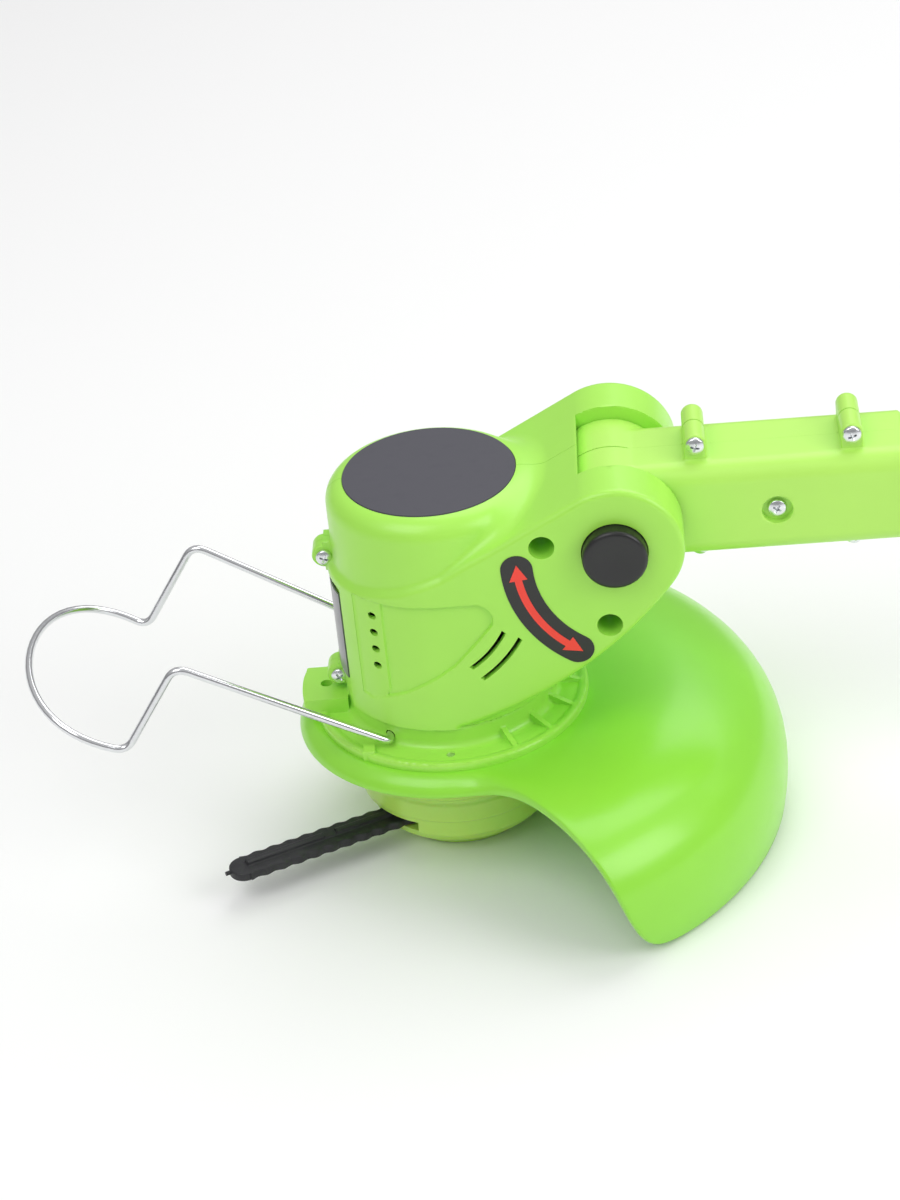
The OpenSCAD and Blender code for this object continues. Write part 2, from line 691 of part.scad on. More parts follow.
module lock_sleeve() {
    color(black) difference() {
        translate([outer_tube_x - 22, 0, hinge_z]) rotate([0, 90, 0]) rotate_extrude($fn = fine)
            polygon([[11.3, 0], [15.6, 0], [17.2, 3], [17.8, 10], [17.8, 34], [16.6, 40], [15, 44],
                [14.1, 44], [14.1, 5], [11.3, 5]]);
        for (a = [0:30:330]) translate([outer_tube_x - 22, 0, hinge_z]) rotate([a, 0, 0])
            translate([8, 0, 18.9]) rotate([0, 90, 0]) cylinder(r = 1.9, h = 24, $fn = 24);
    }
}

// ---- front loop handle ------------------------------------------------------------------------
aux_x = 470;
aux_pivot_z = hinge_z + 26;
loop_r = 50;
loop_rod = 9;
loop_rise = 20;

module aux_clamp() {
    difference() {
        union() {
            cyl_x(aux_x - 16, aux_x + 16, 17);
            translate([aux_x - 16, -22, hinge_z - 5]) cube([32, 44, 10]);
            for (s = [-1, 1]) translate([aux_x, s * 12, 0]) {
                cyl_y(0, aux_pivot_z, 9, -3, 3);
                translate([-9, -3, hinge_z + 8]) cube([18, 6, 18]);
            }
        }
        cyl_x(aux_x - 20, aux_x + 20, outer_tube_r);
        cyl_y(aux_x, aux_pivot_z, 3.06, -20, 20, 32);
        for (s = [-1, 1]) translate([aux_x, s * 19.2, 90]) cylinder(r = 1.6, h = 60, $fn = 24);
    }
}

module aux_clamp_top() {
    color(black) intersection() {
        aux_clamp();
        translate([aux_x - 50, -50, hinge_z]) cube([100, 100, 100]);
    }
}

module aux_clamp_bottom() {
    color(black) intersection() {
        aux_clamp();
        translate([aux_x - 50, -50, hinge_z - 100]) cube([100, 100, 100]);
    }
    color(steel) for (s = [-1, 1]) translate([aux_x, s * 19.2, hinge_z - 7])
        cylinder(r = 2.8, h = 2, $fn = 32);
}

module aux_handle() {
    color(arm_green) difference() {
        union() {
            translate([aux_x, 0, aux_pivot_z + loop_rise + loop_r]) rotate([0, 90, 0])
                rotate_extrude($fn = fine) translate([loop_r, 0]) circle(r = loop_rod, $fn = 32);
            cyl_y(aux_x, aux_pivot_z, 8.8, -8.7, 8.7);
            translate([aux_x - 8, -8.7, aux_pivot_z]) cube([16, 17.4, 14]);
        }
        cyl_y(aux_x, aux_pivot_z, 3.06, -20, 20, 32);
    }
}

module aux_bolt() {
    color(steel) {
        cyl_y(aux_x, aux_pivot_z, 3, -16, 26, 32);
        translate([aux_x, -15, aux_pivot_z]) rotate([90, 0, 0]) cylinder(r = 5.4, h = 3.6, $fn = 6);
    }
}

module aux_knob() {
    color(black) difference() {
        union() {
            cyl_y(aux_x, aux_pivot_z, 8, 15.2, 20);
            cyl_y(aux_x, aux_pivot_z, 13, 20, 31, 48);
        }
        cyl_y(aux_x, aux_pivot_z, 3.06, 15, 26.4, 32);
        for (a = [0:45:315]) translate([aux_x, 0, aux_pivot_z]) rotate([0, a, 0])
            cyl_y(14, 0, 2.6, 19, 32, 24);
    }
}

// ---- main handle ------------------------------------------------------------------------------
handle_x = 640;
dock_x = 812;
dock_end = 906;
dock_z = 50;
grip_pivot = [744, 128];

// Side view of the handle: pole socket, grip bar over the hand opening, and the battery dock
function handle_outline(i) = concat(
    arc([handle_x + 6, 105], 6 - i, 180, 270, 4), arc([700, 71], 28 + i, 90, 40, 6),
    arc([742, 78], 26 - i, 215, 262, 6), arc([dock_x + 8, 56], 6 + i, 100, 90, 2),
    [[dock_x + 14 + i, 62 + i], [dock_x + 14 + i, dock_z + i]],
    arc([dock_end - 8, dock_z + 8], 8 - i, 270, 360, 5), arc([dock_end - 26, 118], 26 - i, 0, 80, 8),
    arc([790, -30], 178 - i, 70, 102, 12), arc([700, 187], 50 + i, -76, -92, 5),
    arc([handle_x + 6, 129], 6 - i, 90, 180, 4));
// The hand opening under the grip bar
function hand_opening(i) = concat(
    arc([752, 84], 10 + i, 180, 265, 6), arc([800, 86], 12 + i, 275, 350, 6),
    arc([802, 104], 12 + i, 10, 90, 6), arc([790, -40], 156 + i, 90, 99, 5),
    arc([752, 108], 10 + i, 100, 180, 5));

module handle_solid() {
    difference() {
        union() {
            slab(handle_outline(0), -handle_half_w, handle_half_w);
            translate([dock_x + 14, -battery_half_w + 6, dock_z])
                cube([dock_end - dock_x - 18, 2 * battery_half_w - 12, 22]);
        }
        slab(hand_opening(0), -50, 50);
        difference() {
            slab(handle_outline(wall), -handle_half_w + wall, handle_half_w - wall);
            slab(hand_opening(wall), -50, 50);
            cyl_y(grip_pivot[0], grip_pivot[1], 5, -50, 50);
            for (p = handle_screw_at) cyl_y(p[0], p[1], 4.6, -50, 50);
            translate([handle_x, -50, 90]) cube([4, 100, 60]);
            translate([outer_tube_end - 4, -50, 90]) cube([8, 100, 60]);
            translate([dock_x, -50, dock_z]) cube([100, 100, 14]);
        }
        cyl_x(handle_x - 1, outer_tube_end, outer_tube_r);
        cyl_x(outer_tube_end - 2, outer_tube_end + 6, 9);
        // Slots for the trigger and the lock-off button
        translate([742, -6.4, 100]) cube([38.8, 12.8, 34]);
        cyl_y(grip_pivot[0], grip_pivot[1], 5.2, -6.4, 6.4);
        translate([757, -5.2, 140]) cube([18.4, 10.4, 12]);
        cyl_y(grip_pivot[0], grip_pivot[1], 2, -12, 12, 32);
        // Channel for the battery's rail, open to the rear
        translate([dock_x + 20, -20.4, dock_z - 1]) cube([100, 40.8, 6]);
        translate([dock_x + 20, -24.4, dock_z + 3.6]) cube([100, 48.8, 5.6]);
        translate([dock_x + 20, -13, dock_z + 8]) cube([14, 26, 8]);
        translate([dock_end - 18, -8.4, dock_z + 8]) cube([60, 16.8, 5]);
        for (p = handle_screw_at) {
            cyl_y(p[0], p[1], 3.1, -50, -handle_half_w + 3, 32);
            cyl_y(p[0], p[1], 1.4, -50, 12, 24);
        }
        // Seat for the soft pad on top of the grip
        pad_shape(0);
    }
}
handle_screw_at = [[648, 95 + 8], [706, 106], [762, 56.5], [830, 78], [892, 88], [868, 134], [722, 132]];

module pad_shape(clear) {
    intersection() {
        slab(concat(arc([790, -30], 180, 76, 97, 10), arc([790, -30], 176.2, 97, 76, 10)),
            -12.5 - clear, 12.5 + clear);
        translate([768 - 30, -50, 100]) cube([112, 100, 60]);
        difference() {
            translate([700, -50, 100]) cube([200, 100, 60]);
            translate([754, -50, 100]) cube([25, 100, 60]);
        }
    }
}

module handle_near() {
    color(green) near_side() handle_solid();
}

module handle_far() {
    color(green) far_side() handle_solid();
}

module handle_screws() {
    color(steel) for (p = handle_screw_at) screw_y(p[0], p[1], -handle_half_w + 1, 24);
}

module grip_pad() {
    color(black) pad_shape(0);
}

module trigger() {
    color([0.9, 0.35, 0.2]) difference() {
        union() {
            slab(concat([[747, 124.6], [747, 116]], arc([756, 105], 8, 190, 250, 5),
                arc([766, 112], 11, 250, 330, 5), [[778.6, 114], [778.6, 121.6], [764, 124.6]]), -6, 6);
            cyl_y(grip_pivot[0], grip_pivot[1], 4.6, -6, 6);
            slab([[744, 123.6], [752, 123.6], [752, 130], [744, 132]], -6, 6);
        }
        cyl_y(grip_pivot[0], grip_pivot[1], 2.06, -10, 10, 32);
    }
}

module trigger_pin() {
    color(steel) cyl_y(grip_pivot[0], grip_pivot[1], 2, -12, 12, 32);
}

module trigger_spring() {
    color(steel) translate([759, 0, 125.4]) spring_sleeve(3, 0.7, 4.2);
}

module power_switch() {
    color([0.12, 0.12, 0.13]) {
        translate([781, -6, 122.6]) cube([18, 12, 9]);
        translate([784, -2.5, 131.5]) cube([8, 5, 2]);
    }
}

module lock_off_button() {
    color([0.9, 0.35, 0.2]) {
        translate([757.4, -4.8, 141]) cube([17.6, 9.6, 10]);
        translate([760, -3.8, 151]) cube([12.4, 7.6, 1.2]);
        translate([755.6, -7, 139]) cube([21.2, 14, 2.2]);
    }
}

module lock_off_spring() {
    color(steel) translate([766.2, 0, 134.6]) spring_sleeve(3.4, 0.7, 4.4);
}

// ---- battery ----------------------------------------------------------------------------------
batt_x = dock_x + 6;
split_z = 24;
latch_x = dock_end - 17.5;
case_top = dock_z - 0.5;

module battery_block(inset) {
    w = 2 * (battery_half_w - inset);
    translate([batt_x + battery_len / 2, 0, inset]) linear_extrude(case_top - 2 * inset)
        polygon(round_rect([0, 0], battery_len - 2 * inset, w, 6 - inset));
}

module battery_solid() {
    difference() {
        union() {
            battery_block(0);
            translate([dock_x + 20.5, -20, case_top - 1]) cube([78, 40, 6]);
            translate([dock_x + 20.5, -24, dock_z + 4]) cube([78, 48, 4.8]);
        }
        difference() {
            battery_block(1.8);
            translate([latch_x - 3, -10, case_top - 6]) cube([15, 20, 8]);
        }
        translate([dock_x + 22, -13, dock_z + 3]) cube([14, 26, 8]);
        translate([latch_x - 1, -8.2, case_top - 4]) cube([29, 16.4, 20]);
        for (y = [-9, 0, 9]) translate([dock_x + 24, y - 1, 44]) cube([10, 2, 12]);
    }
}

module battery_top() {
    color(black) intersection() {
        battery_solid();
        translate([batt_x - 20, -60, split_z]) cube([200, 120, 60]);
    }
}

module battery_bottom() {
    color(arm_green) intersection() {
        battery_solid();
        translate([batt_x - 20, -60, -10]) cube([200, 120, split_z + 10]);
    }
}

module battery_cells() {
    color([0.35, 0.55, 0.75]) for (i = [0:4]) for (z = [11.6, 30])
        cyl_y(batt_x + 12.6 + 18.7 * i, z, 9.1, -32.5, 32.5, 32);
}

module battery_terminals() {
    color([0.8, 0.6, 0.3]) for (y = [-9, 0, 9]) translate([dock_x + 24, y - 1, 45]) cube([10, 2, 12.6]);
}

module dock_contacts() {
    color([0.8, 0.6, 0.3]) {
        for (y = [-9, 0, 9]) for (s = [-1, 1])
            translate([dock_x + 24, y + s * 1.7 - 0.4, dock_z + 6]) cube([8, 0.8, 12]);
        translate([dock_x + 21, -12.5, dock_z + 14]) cube([12, 25, 1.9]);
    }
}

module battery_latch() {
    color([0.9, 0.35, 0.2]) {
        translate([latch_x, -7.6, dock_z + 2.6]) cube([7, 15.2, 8.8]);
        translate([latch_x + 5, -7.6, dock_z + 2.6]) cube([21, 15.2, 3.4]);
    }
}

module latch_spring() {
    color(steel) translate([latch_x + 3.6, 0, case_top - 4]) spring_sleeve(2.6, 0.6, 7.1);
}

head_shell_near();
head_shell_far();
top_label();
front_label();
tilt_decal();
tilt_arrow();
head_screws();
pivot_cap();
collar();
guard();
guard_screws();
wire_guard();
motor_can();
motor_magnets();
motor_end_cap();
shaft_bushes();
motor_screws();
rotor();
motor_shaft();
hub();
hub_cover();
hub_nut();
blade_pin();
blade();
tilt_button();
lock_ring();
button_spring();
arm_near();
arm_far();
arm_screws();
inner_tube();
outer_tube();
lock_sleeve();
tube_collet();
aux_clamp_top();
aux_clamp_bottom();
aux_handle();
aux_bolt();
aux_knob();
handle_near();
handle_far();
handle_screws();
grip_pad();
trigger();
trigger_pin();
trigger_spring();
power_switch();
lock_off_button();
lock_off_spring();
dock_contacts();
battery_top();
battery_bottom();
battery_cells();
battery_terminals();
battery_latch();
latch_spring();
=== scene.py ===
"""Cordless grass trimmer: the finished surfaces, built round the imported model, in its own frame."""
import math

import bmesh
import bpy
import numpy as np
from mathutils import Matrix, Vector
from mathutils.geometry import tessellate_polygon


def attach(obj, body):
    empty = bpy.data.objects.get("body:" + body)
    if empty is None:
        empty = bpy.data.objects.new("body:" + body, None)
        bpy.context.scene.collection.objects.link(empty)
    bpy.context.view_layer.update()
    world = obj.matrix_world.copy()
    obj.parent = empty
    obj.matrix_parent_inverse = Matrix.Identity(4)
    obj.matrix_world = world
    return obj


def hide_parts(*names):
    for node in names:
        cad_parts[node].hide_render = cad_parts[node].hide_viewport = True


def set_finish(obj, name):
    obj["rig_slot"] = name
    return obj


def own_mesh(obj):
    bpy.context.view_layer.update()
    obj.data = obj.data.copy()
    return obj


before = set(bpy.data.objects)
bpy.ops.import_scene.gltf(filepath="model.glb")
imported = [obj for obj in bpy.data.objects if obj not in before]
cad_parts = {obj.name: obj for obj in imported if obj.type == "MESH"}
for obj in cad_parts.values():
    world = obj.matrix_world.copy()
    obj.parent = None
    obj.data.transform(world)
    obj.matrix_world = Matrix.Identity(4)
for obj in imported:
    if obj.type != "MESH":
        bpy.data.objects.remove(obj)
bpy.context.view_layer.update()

# ---- head casing --------------------------------------------------------------------------------
# Two half shells of glossy lime ABS, injection moulded and screwed together round the motor.
# Thick soft-edged side plates run back into the two ears of the tilt hinge, and a domed can with
# a wide round shoulder stands between them. Lengths from here on are in millimetres.
MM = 0.001
HEAD_R, DOME_R, CORE_R, SHOULDER = 36, 34, 34.7, 7.5
HEAD_TOP, HEAD_BOTTOM, WALL, SEAM = 130.5, 54.5, 2.6, 0.07
HINGE, EAR_R, EAR_GAP, BARREL_R = (57.8, 117), 22, 19, 17.8
PLATE_C, PLATE_ARC = (-33.8, 186.5), 137
DEEP_HOLES = [(35.1, 120.7), (54.6, 90.5)]
LUG_X, LUGS = -36.4, (104, 58)
VENT_X, VENTS = -20.9, (76.6, 82.9, 89.2, 95.5)


def arc(centre, radius, start, end, steps=12):
    """Points of an arc, angles in degrees."""
    return [(centre[0] + radius * math.cos(a), centre[1] + radius * math.sin(a))
            for a in np.radians(np.linspace(start, end, steps + 1))]


def outline(u, v, points):
    """Distance from (u, v) to a closed outline, negative inside."""
    best = np.full(u.shape, 1e9)
    inside = np.zeros(u.shape, bool)
    for (au, av), (bu, bv) in zip(points, points[1:] + points[:1]):
        eu, ev = bu - au, bv - av
        share = np.clip(((u - au) * eu + (v - av) * ev) / (eu * eu + ev * ev + 1e-12), 0, 1)
        best = np.minimum(best, (u - au - share * eu) ** 2 + (v - av - share * ev) ** 2)
        if av != bv:
            inside ^= ((av > v) != (bv > v)) & (u < eu * (v - av) / ev + au)
    return np.where(inside, -1, 1) * np.sqrt(best)


def edge(a, b, r):
    """Where both a and b hold, with the edge between them rounded to radius r."""
    return np.minimum(np.maximum(a, b) + r, 0) + np.hypot(np.maximum(a + r, 0), np.maximum(b + r, 0)) - r


def fillet(a, b, r):
    """a and b joined, with the inner corner between them filled to radius r."""
    return -edge(-a, -b, r)


def block(x, y, z, low, high):
    """Distance to a box from corner low to corner high."""
    sides = [np.maximum(low[i] - q, q - high[i]) for i, q in enumerate((x, y, z))]
    return np.maximum(np.maximum(sides[0], sides[1]), sides[2])


def rod_y(x, y, z, centre, radius, y0, y1):
    """Cylinder along y round centre = (x, z)."""
    return np.maximum(np.hypot(x - centre[0], z - centre[1]) - radius, np.maximum(y0 - y, y - y1))


def mesh_from(name, shape):
    """Mesh made from a bmesh, which is freed."""
    mesh = bpy.data.meshes.new(name)
    shape.to_mesh(mesh)
    shape.free()
    return mesh


def show(name, mesh):
    """Object that shows the mesh in the scene."""
    piece = bpy.data.objects.new(name, mesh)
    bpy.context.scene.collection.objects.link(piece)
    return piece


def band(shape, low, high):
    """Faces between two closed rings of vertices of the same count."""
    for a, b, c, d in zip(low, low[1:] + low[:1], high[1:] + high[:1], high):
        shape.faces.new((a, b, c, d))


def cast(name, field, low, high, cell):
    """Closed mesh of the solid where field(x, y, z) is below zero. Its sharp edges stay sharp: each
    cell's vertex is the point that lies best on the tangent planes of the surface around it."""
    low = np.array(low, float) - 1.5 * cell
    count = np.ceil((np.array(high, float) + 1.5 * cell - low) / cell).astype(int) + 1
    axes = [low[i] + cell * np.arange(count[i]) for i in range(3)]
    coarse = 6
    middles = [low[i] + cell * (coarse * np.arange(-(-count[i] // coarse)) + (coarse - 1) / 2)
               for i in range(3)]
    value = field(*np.meshgrid(*middles, indexing="ij"))
    near = np.abs(value) < cell * (coarse * 0.9 + 1.5)
    for i in range(3):
        value, near = np.repeat(value, coarse, axis=i), np.repeat(near, coarse, axis=i)
    value = value[:count[0], :count[1], :count[2]].astype(float)
    spots = np.nonzero(near[:count[0], :count[1], :count[2]])
    value[spots] = field(*[axes[i][spots[i]] for i in range(3)])
    keys, normals, places, rings = [], [], [], []
    shape = tuple(count)
    for a in range(3):
        b, c = (a + 1) % 3, (a + 2) % 3
        first, second = [slice(None)] * 3, [slice(None)] * 3
        first[a], second[a] = slice(None, -1), slice(1, None)
        starts_in, ends_in = value[tuple(first)] < 0, value[tuple(second)] < 0
        node = np.argwhere(starts_in != ends_in)
        outward = starts_in[tuple(node.T)]
        t0, t1 = np.zeros(len(node)), np.ones(len(node))
        point = low + cell * node
        start = point[:, a].copy()
        for _ in range(7):
            middle = (t0 + t1) / 2
            point[:, a] = start + cell * middle
            same = (field(*point.T) < 0) == outward
            t0, t1 = np.where(same, middle, t0), np.where(same, t1, middle)
        point[:, a] = start + cell * (t0 + t1) / 2
        step = 0.02 * cell
        slopes = [field(*(point + step * np.eye(3)[i]).T) - field(*(point - step * np.eye(3)[i]).T)
                  for i in range(3)]
        normal = np.stack(slopes, axis=1)
        normal /= np.linalg.norm(normal, axis=1, keepdims=True) + 1e-12
        ring = []
        for db, dc in ((0, 0), (1, 0), (1, 1), (0, 1)):
            owner = node.copy()
            owner[:, b] -= db
            owner[:, c] -= dc
            ring.append(np.ravel_multi_index(owner.T, shape))
            keys.append(ring[-1])
            normals.append(normal)
            places.append(point)
        ring = np.stack(ring, axis=1)
        rings.append(np.where(outward[:, None], ring, ring[:, ::-1]))
    cells, member = np.unique(np.concatenate(keys), return_inverse=True)
    normal, place = np.concatenate(normals), np.concatenate(places)

    def gather(weights):
        return np.bincount(member, weights, len(cells))

    amount = gather(np.ones(len(member)))
    centre = np.stack([gather(place[:, i]) / amount for i in range(3)], axis=1)
    offset = np.einsum("ij,ij->i", normal, place - centre[member])
    square = np.stack([gather(normal[:, i] * normal[:, j]) for i in range(3) for j in range(3)], axis=1)
    pull = np.stack([gather(normal[:, i] * offset) for i in range(3)], axis=1)
    square = square.reshape(-1, 3, 3) + 0.03 * np.eye(3)
    corner = low + cell * np.stack(np.unravel_index(cells, shape), axis=1)
    vertices = np.clip(centre + np.linalg.solve(square, pull[:, :, None])[:, :, 0], corner, corner + cell)
    quads = np.searchsorted(cells, np.concatenate(rings))
    mesh = bpy.data.meshes.new(name)
    mesh.vertices.add(len(vertices))
    mesh.vertices.foreach_set("co", (vertices * MM).ravel())
    mesh.loops.add(quads.size)
    mesh.loops.foreach_set("vertex_index", quads.ravel().astype(np.int32))
    mesh.polygons.add(len(quads))
    mesh.polygons.foreach_set("loop_start", np.arange(0, quads.size, 4, dtype=np.int32))
    mesh.update(calc_edges=True)
    mesh.validate()
    return show(name, mesh)


def bake_modifiers(piece):
    """Replaces the piece's mesh by what its modifiers make of it."""
    made = bpy.data.meshes.new_from_object(piece.evaluated_get(bpy.context.evaluated_depsgraph_get()))
    piece.modifiers.clear()
    piece.data = made


def rod(name, start, end, radius, sides=48):
    """Closed cylinder from start to end, as a cutter."""
    start, end = Vector(start) * MM, Vector(end) * MM
    shape = bmesh.new()
    turn = (end - start).to_track_quat("Z", "Y").to_matrix().to_4x4()
    bmesh.ops.create_cone(shape, cap_ends=True, segments=sides, radius1=radius * MM, radius2=radius * MM,
                          depth=(end - start).length, matrix=Matrix.Translation((start + end) / 2) @ turn)
    return mesh_from(name, shape)


def drill(piece, cutters):
    """Cuts the cutter meshes out of the piece."""
    tool = bmesh.new()
    for cutter in cutters:
        tool.from_mesh(cutter)
    holder = show("tool", mesh_from("tool", tool))
    cut = piece.modifiers.new("cut", "BOOLEAN")
    cut.operation, cut.object, cut.solver = "DIFFERENCE", holder, "MANIFOLD"
    bake_modifiers(piece)
    bpy.data.objects.remove(holder)


def lighten(piece, share):
    """Collapses a piece's flattest edges, down to a share of its faces."""
    modifier = piece.modifiers.new("lighten", "DECIMATE")
    modifier.ratio = share
    bake_modifiers(piece)


def dress(piece, material, body, slot_name, *nodes, sharp=32):
    """Smooth shading with crisp edges, material, and what the piece rides on and stands for."""
    piece.data.materials.clear()
    piece.data.materials.append(material)
    if piece.type == "MESH":
        piece.data.shade_smooth()
        piece.data.set_sharp_from_angle(angle=math.radians(sharp))
    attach(piece, body)
    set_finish(piece, slot_name)
    if nodes:
        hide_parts(*nodes)
    return piece


side_view = (arc(PLATE_C, PLATE_ARC, 286, 322.8, 24) + arc(HINGE, EAR_R, -37.2, 116.5, 40)
             + [(2.5, 111.2), (-12, 106), (-26, 103), (-50, 103), (-50, 40), (4.8, 40)])
panel_view = (arc((11.8, 95.3), 6, 90, -20, 6) + [(14, 89), (4.8, 79), (-0.9, 75), (-12, 68.6), (-24, 63),
                                                  (-26.5, 64), (-26.5, 101.3)])


def hinge_slot(x, y, z):
    """The space that the arm's barrel turns in."""
    opening = block(x, y, z, (HINGE[0] - 10, -EAR_GAP, 97), (HINGE[0] + 50, EAR_GAP, 170))
    return np.minimum(opening, rod_y(x, y, z, HINGE, BARREL_R + 0.6, -EAR_GAP, EAR_GAP))


def head_body(x, y, z):
    """Outside of the head, without its bottom opening and holes."""
    around = np.hypot(x, y)
    plan = np.where(x < 0, around, np.abs(y)) - HEAD_R
    plates = edge(plan, outline(x, z, side_view), 1.9)
    window = edge(np.maximum(np.abs(y) - 17, x + 20), z - 99, 1)
    plates = edge(plates, -window, 0.7)
    recess = np.maximum(outline(x, z, panel_view), -(plan + 1.4))
    strip = np.maximum(x + 17.6 + np.maximum(68 - z, 0) * 0.6, plan + 0.55)
    recess = edge(recess, -strip, 0.5)
    plates = edge(plates, -recess, 0.5)
    dome = edge(around - DOME_R, z - HEAD_TOP, SHOULDER)
    core = edge(around - CORE_R, z - 101, 1)
    rise = np.clip(x / 24, 0, 1)
    whole = fillet(plates, dome, 1.7 + 5.3 * rise * rise * (3 - 2 * rise))
    whole = np.minimum(whole, core)
    for lug in LUGS:
        boss = edge(np.hypot(x - LUG_X, z - lug) - 4, np.abs(y) - 4, 0.6)
        rib = edge(block(x, y, z, (LUG_X, -99, lug - 5.5), (-24, 99, lug + 5.5)), np.abs(y) - 4, 0.6)
        whole = fillet(whole, np.minimum(boss, rib), 0.8)
    return whole


def head_field(x, y, z):
    body = head_body(x, y, z)
    slot = hinge_slot(x, y, z)
    hollow = np.maximum(body + WALL, WALL - slot)
    hollow = np.maximum(hollow, 13.2 - np.hypot(x - HINGE[0], z - HINGE[1]))
    for hole in DEEP_HOLES:
        hollow = np.maximum(hollow, 5.9 - np.hypot(x - hole[0], z - hole[1]))
    hollow = np.minimum(hollow, np.maximum(np.hypot(x, y) - 33.3, z - 99))
    shell = edge(np.maximum(body, -hollow), HEAD_BOTTOM - z, 0.4)
    shell = edge(shell, -slot, 0.5)
    trunnion = rod_y(x, np.abs(y), z, HINGE, 12, 13, 20)
    return np.minimum(shell, trunnion)


head_cuts = [rod("button_bore", (HINGE[0], -60, HINGE[1]), (HINGE[0], -9.9, HINGE[1]), 10.6, 96),
             rod("cap_bore", (HINGE[0], 9.9, HINGE[1]), (HINGE[0], 60, HINGE[1]), 10.6, 96),
             rod("label_seat", (0, 0, HEAD_TOP - 0.8), (0, 0, HEAD_TOP + 3), 28.1, 128)]
head_cuts += [rod("screw_well", (x, -60, z), (x, -20, z), 4.1) for x, z in DEEP_HOLES]
head_cuts += [rod("lug_hole", (LUG_X, -5, z), (LUG_X, -2, z), 1.5, 24) for z in LUGS]
for side in (-1, 1):
    head_cuts += [rod("vent", (VENT_X, side * 44, z), (VENT_X, side * 24, z), 1.3, 32) for z in VENTS]


def curved_slot(name, first, last, side, wide=1.7, bulge=1.1):
    """Cutter for a thin slot through a side plate, bent slightly from first to last (x, z)."""
    first, last = np.array(first), np.array(last)
    along = (last - first) / np.linalg.norm(last - first)
    across = np.array((-along[1], along[0]))
    line = [first + (last - first) * t + across * bulge * (1 - (2 * t - 1) ** 2)
            for t in np.linspace(0, 1, 13)]
    rim = [p + across * wide / 2 for p in line] + [p - across * wide / 2 for p in reversed(line)]
    shape = bmesh.new()
    near, far = [[shape.verts.new((p[0] * MM, side * y * MM, p[1] * MM)) for p in rim] for y in (44, 28)]
    shape.faces.new(near)
    shape.faces.new(far[::-1])
    band(shape, near, far)
    bmesh.ops.recalc_face_normals(shape, faces=shape.faces)
    bmesh.ops.triangulate(shape, faces=shape.faces)
    return mesh_from(name, shape)


for side in (-1, 1):
    head_cuts.append(curved_slot("slot_a", (20.9, 90.6), (9.4, 77.7), side))
    head_cuts.append(curved_slot("slot_b", (25.9, 87.7), (12.7, 73.3), side))


def surface_group(name, amounts):
    """Node group that turns a colour, a roughness and the amounts into colour, roughness and height."""
    group = bpy.data.node_groups.new(name, "ShaderNodeTree")
    new_socket = group.interface.new_socket
    new_socket("Colour", in_out="INPUT", socket_type="NodeSocketColor").default_value = (0.5, 0.5, 0.5, 1)
    for label, default in amounts.items():
        new_socket(label, in_out="INPUT", socket_type="NodeSocketFloat").default_value = default
    for label, kind in (("Colour", "Color"), ("Roughness", "Float"), ("Height", "Float")):
        new_socket(label, in_out="OUTPUT", socket_type="NodeSocket" + kind)
    return group


def moulded_skin_group():
    """Surface of moulded plastic: slow colour drift, faint rub marks and a fine grain to bump with."""
    group = surface_group("moulded_skin",
                          {"Drift": 0.08, "Roughness": 0.35, "Grain size": 0.0006, "Rubbing": 0.06})
    nodes, link = group.nodes, group.links.new
    given, result = nodes.new("NodeGroupInput"), nodes.new("NodeGroupOutput")
    place = nodes.new("ShaderNodeTexCoord")

    def noise(scale, detail):
        node = nodes.new("ShaderNodeTexNoise")
        node.inputs["Scale"].default_value = scale
        node.inputs["Detail"].default_value = detail
        link(place.outputs["Object"], node.inputs["Vector"])
        return node

    def work(operation, a, b):
        node = nodes.new("ShaderNodeMath")
        node.operation = operation
        for socket, value in zip(node.inputs, (a, b)):
            if isinstance(value, (int, float)):
                socket.default_value = value
            else:
                link(value, socket)
        return node.outputs[0]

    cloud = noise(28, 3)
    shift = work("MULTIPLY_ADD", work("SUBTRACT", cloud.outputs["Fac"], 0.5), given.outputs["Drift"])
    shift.node.inputs[2].default_value = 1
    tone = nodes.new("ShaderNodeHueSaturation")
    link(given.outputs["Colour"], tone.inputs["Color"])
    link(shift, tone.inputs["Value"])
    link(tone.outputs["Color"], result.inputs["Colour"])
    rub = nodes.new("ShaderNodeMapRange")
    rub.inputs["From Min"].default_value, rub.inputs["From Max"].default_value = 0.52, 0.72
    link(noise(160, 5).outputs["Fac"], rub.inputs["Value"])
    worn = work("MULTIPLY", rub.outputs["Result"], given.outputs["Rubbing"])
    link(work("ADD", given.outputs["Roughness"], worn), result.inputs["Roughness"])
    grain = noise(1, 2)
    link(work("DIVIDE", 1, given.outputs["Grain size"]), grain.inputs["Scale"])
    link(grain.outputs["Fac"], result.inputs["Height"])
    return group


skin_group = moulded_skin_group()


def surfaced(name, group, amounts, bump, depth):
    """Material whose colour, roughness and bump come from a surface group."""
    material = bpy.data.materials.new(name)
    material.use_nodes = True
    nodes, link = material.node_tree.nodes, material.node_tree.links.new
    shader, skin, raised = nodes["Principled BSDF"], nodes.new("ShaderNodeGroup"), nodes.new("ShaderNodeBump")
    skin.node_tree = group
    for label, value in amounts.items():
        skin.inputs[label].default_value = value
    raised.inputs["Strength"].default_value = bump
    raised.inputs["Distance"].default_value = depth
    link(skin.outputs["Colour"], shader.inputs["Base Color"])
    link(skin.outputs["Roughness"], shader.inputs["Roughness"])
    link(skin.outputs["Height"], raised.inputs["Height"])
    link(raised.outputs["Normal"], shader.inputs["Normal"])
    return material


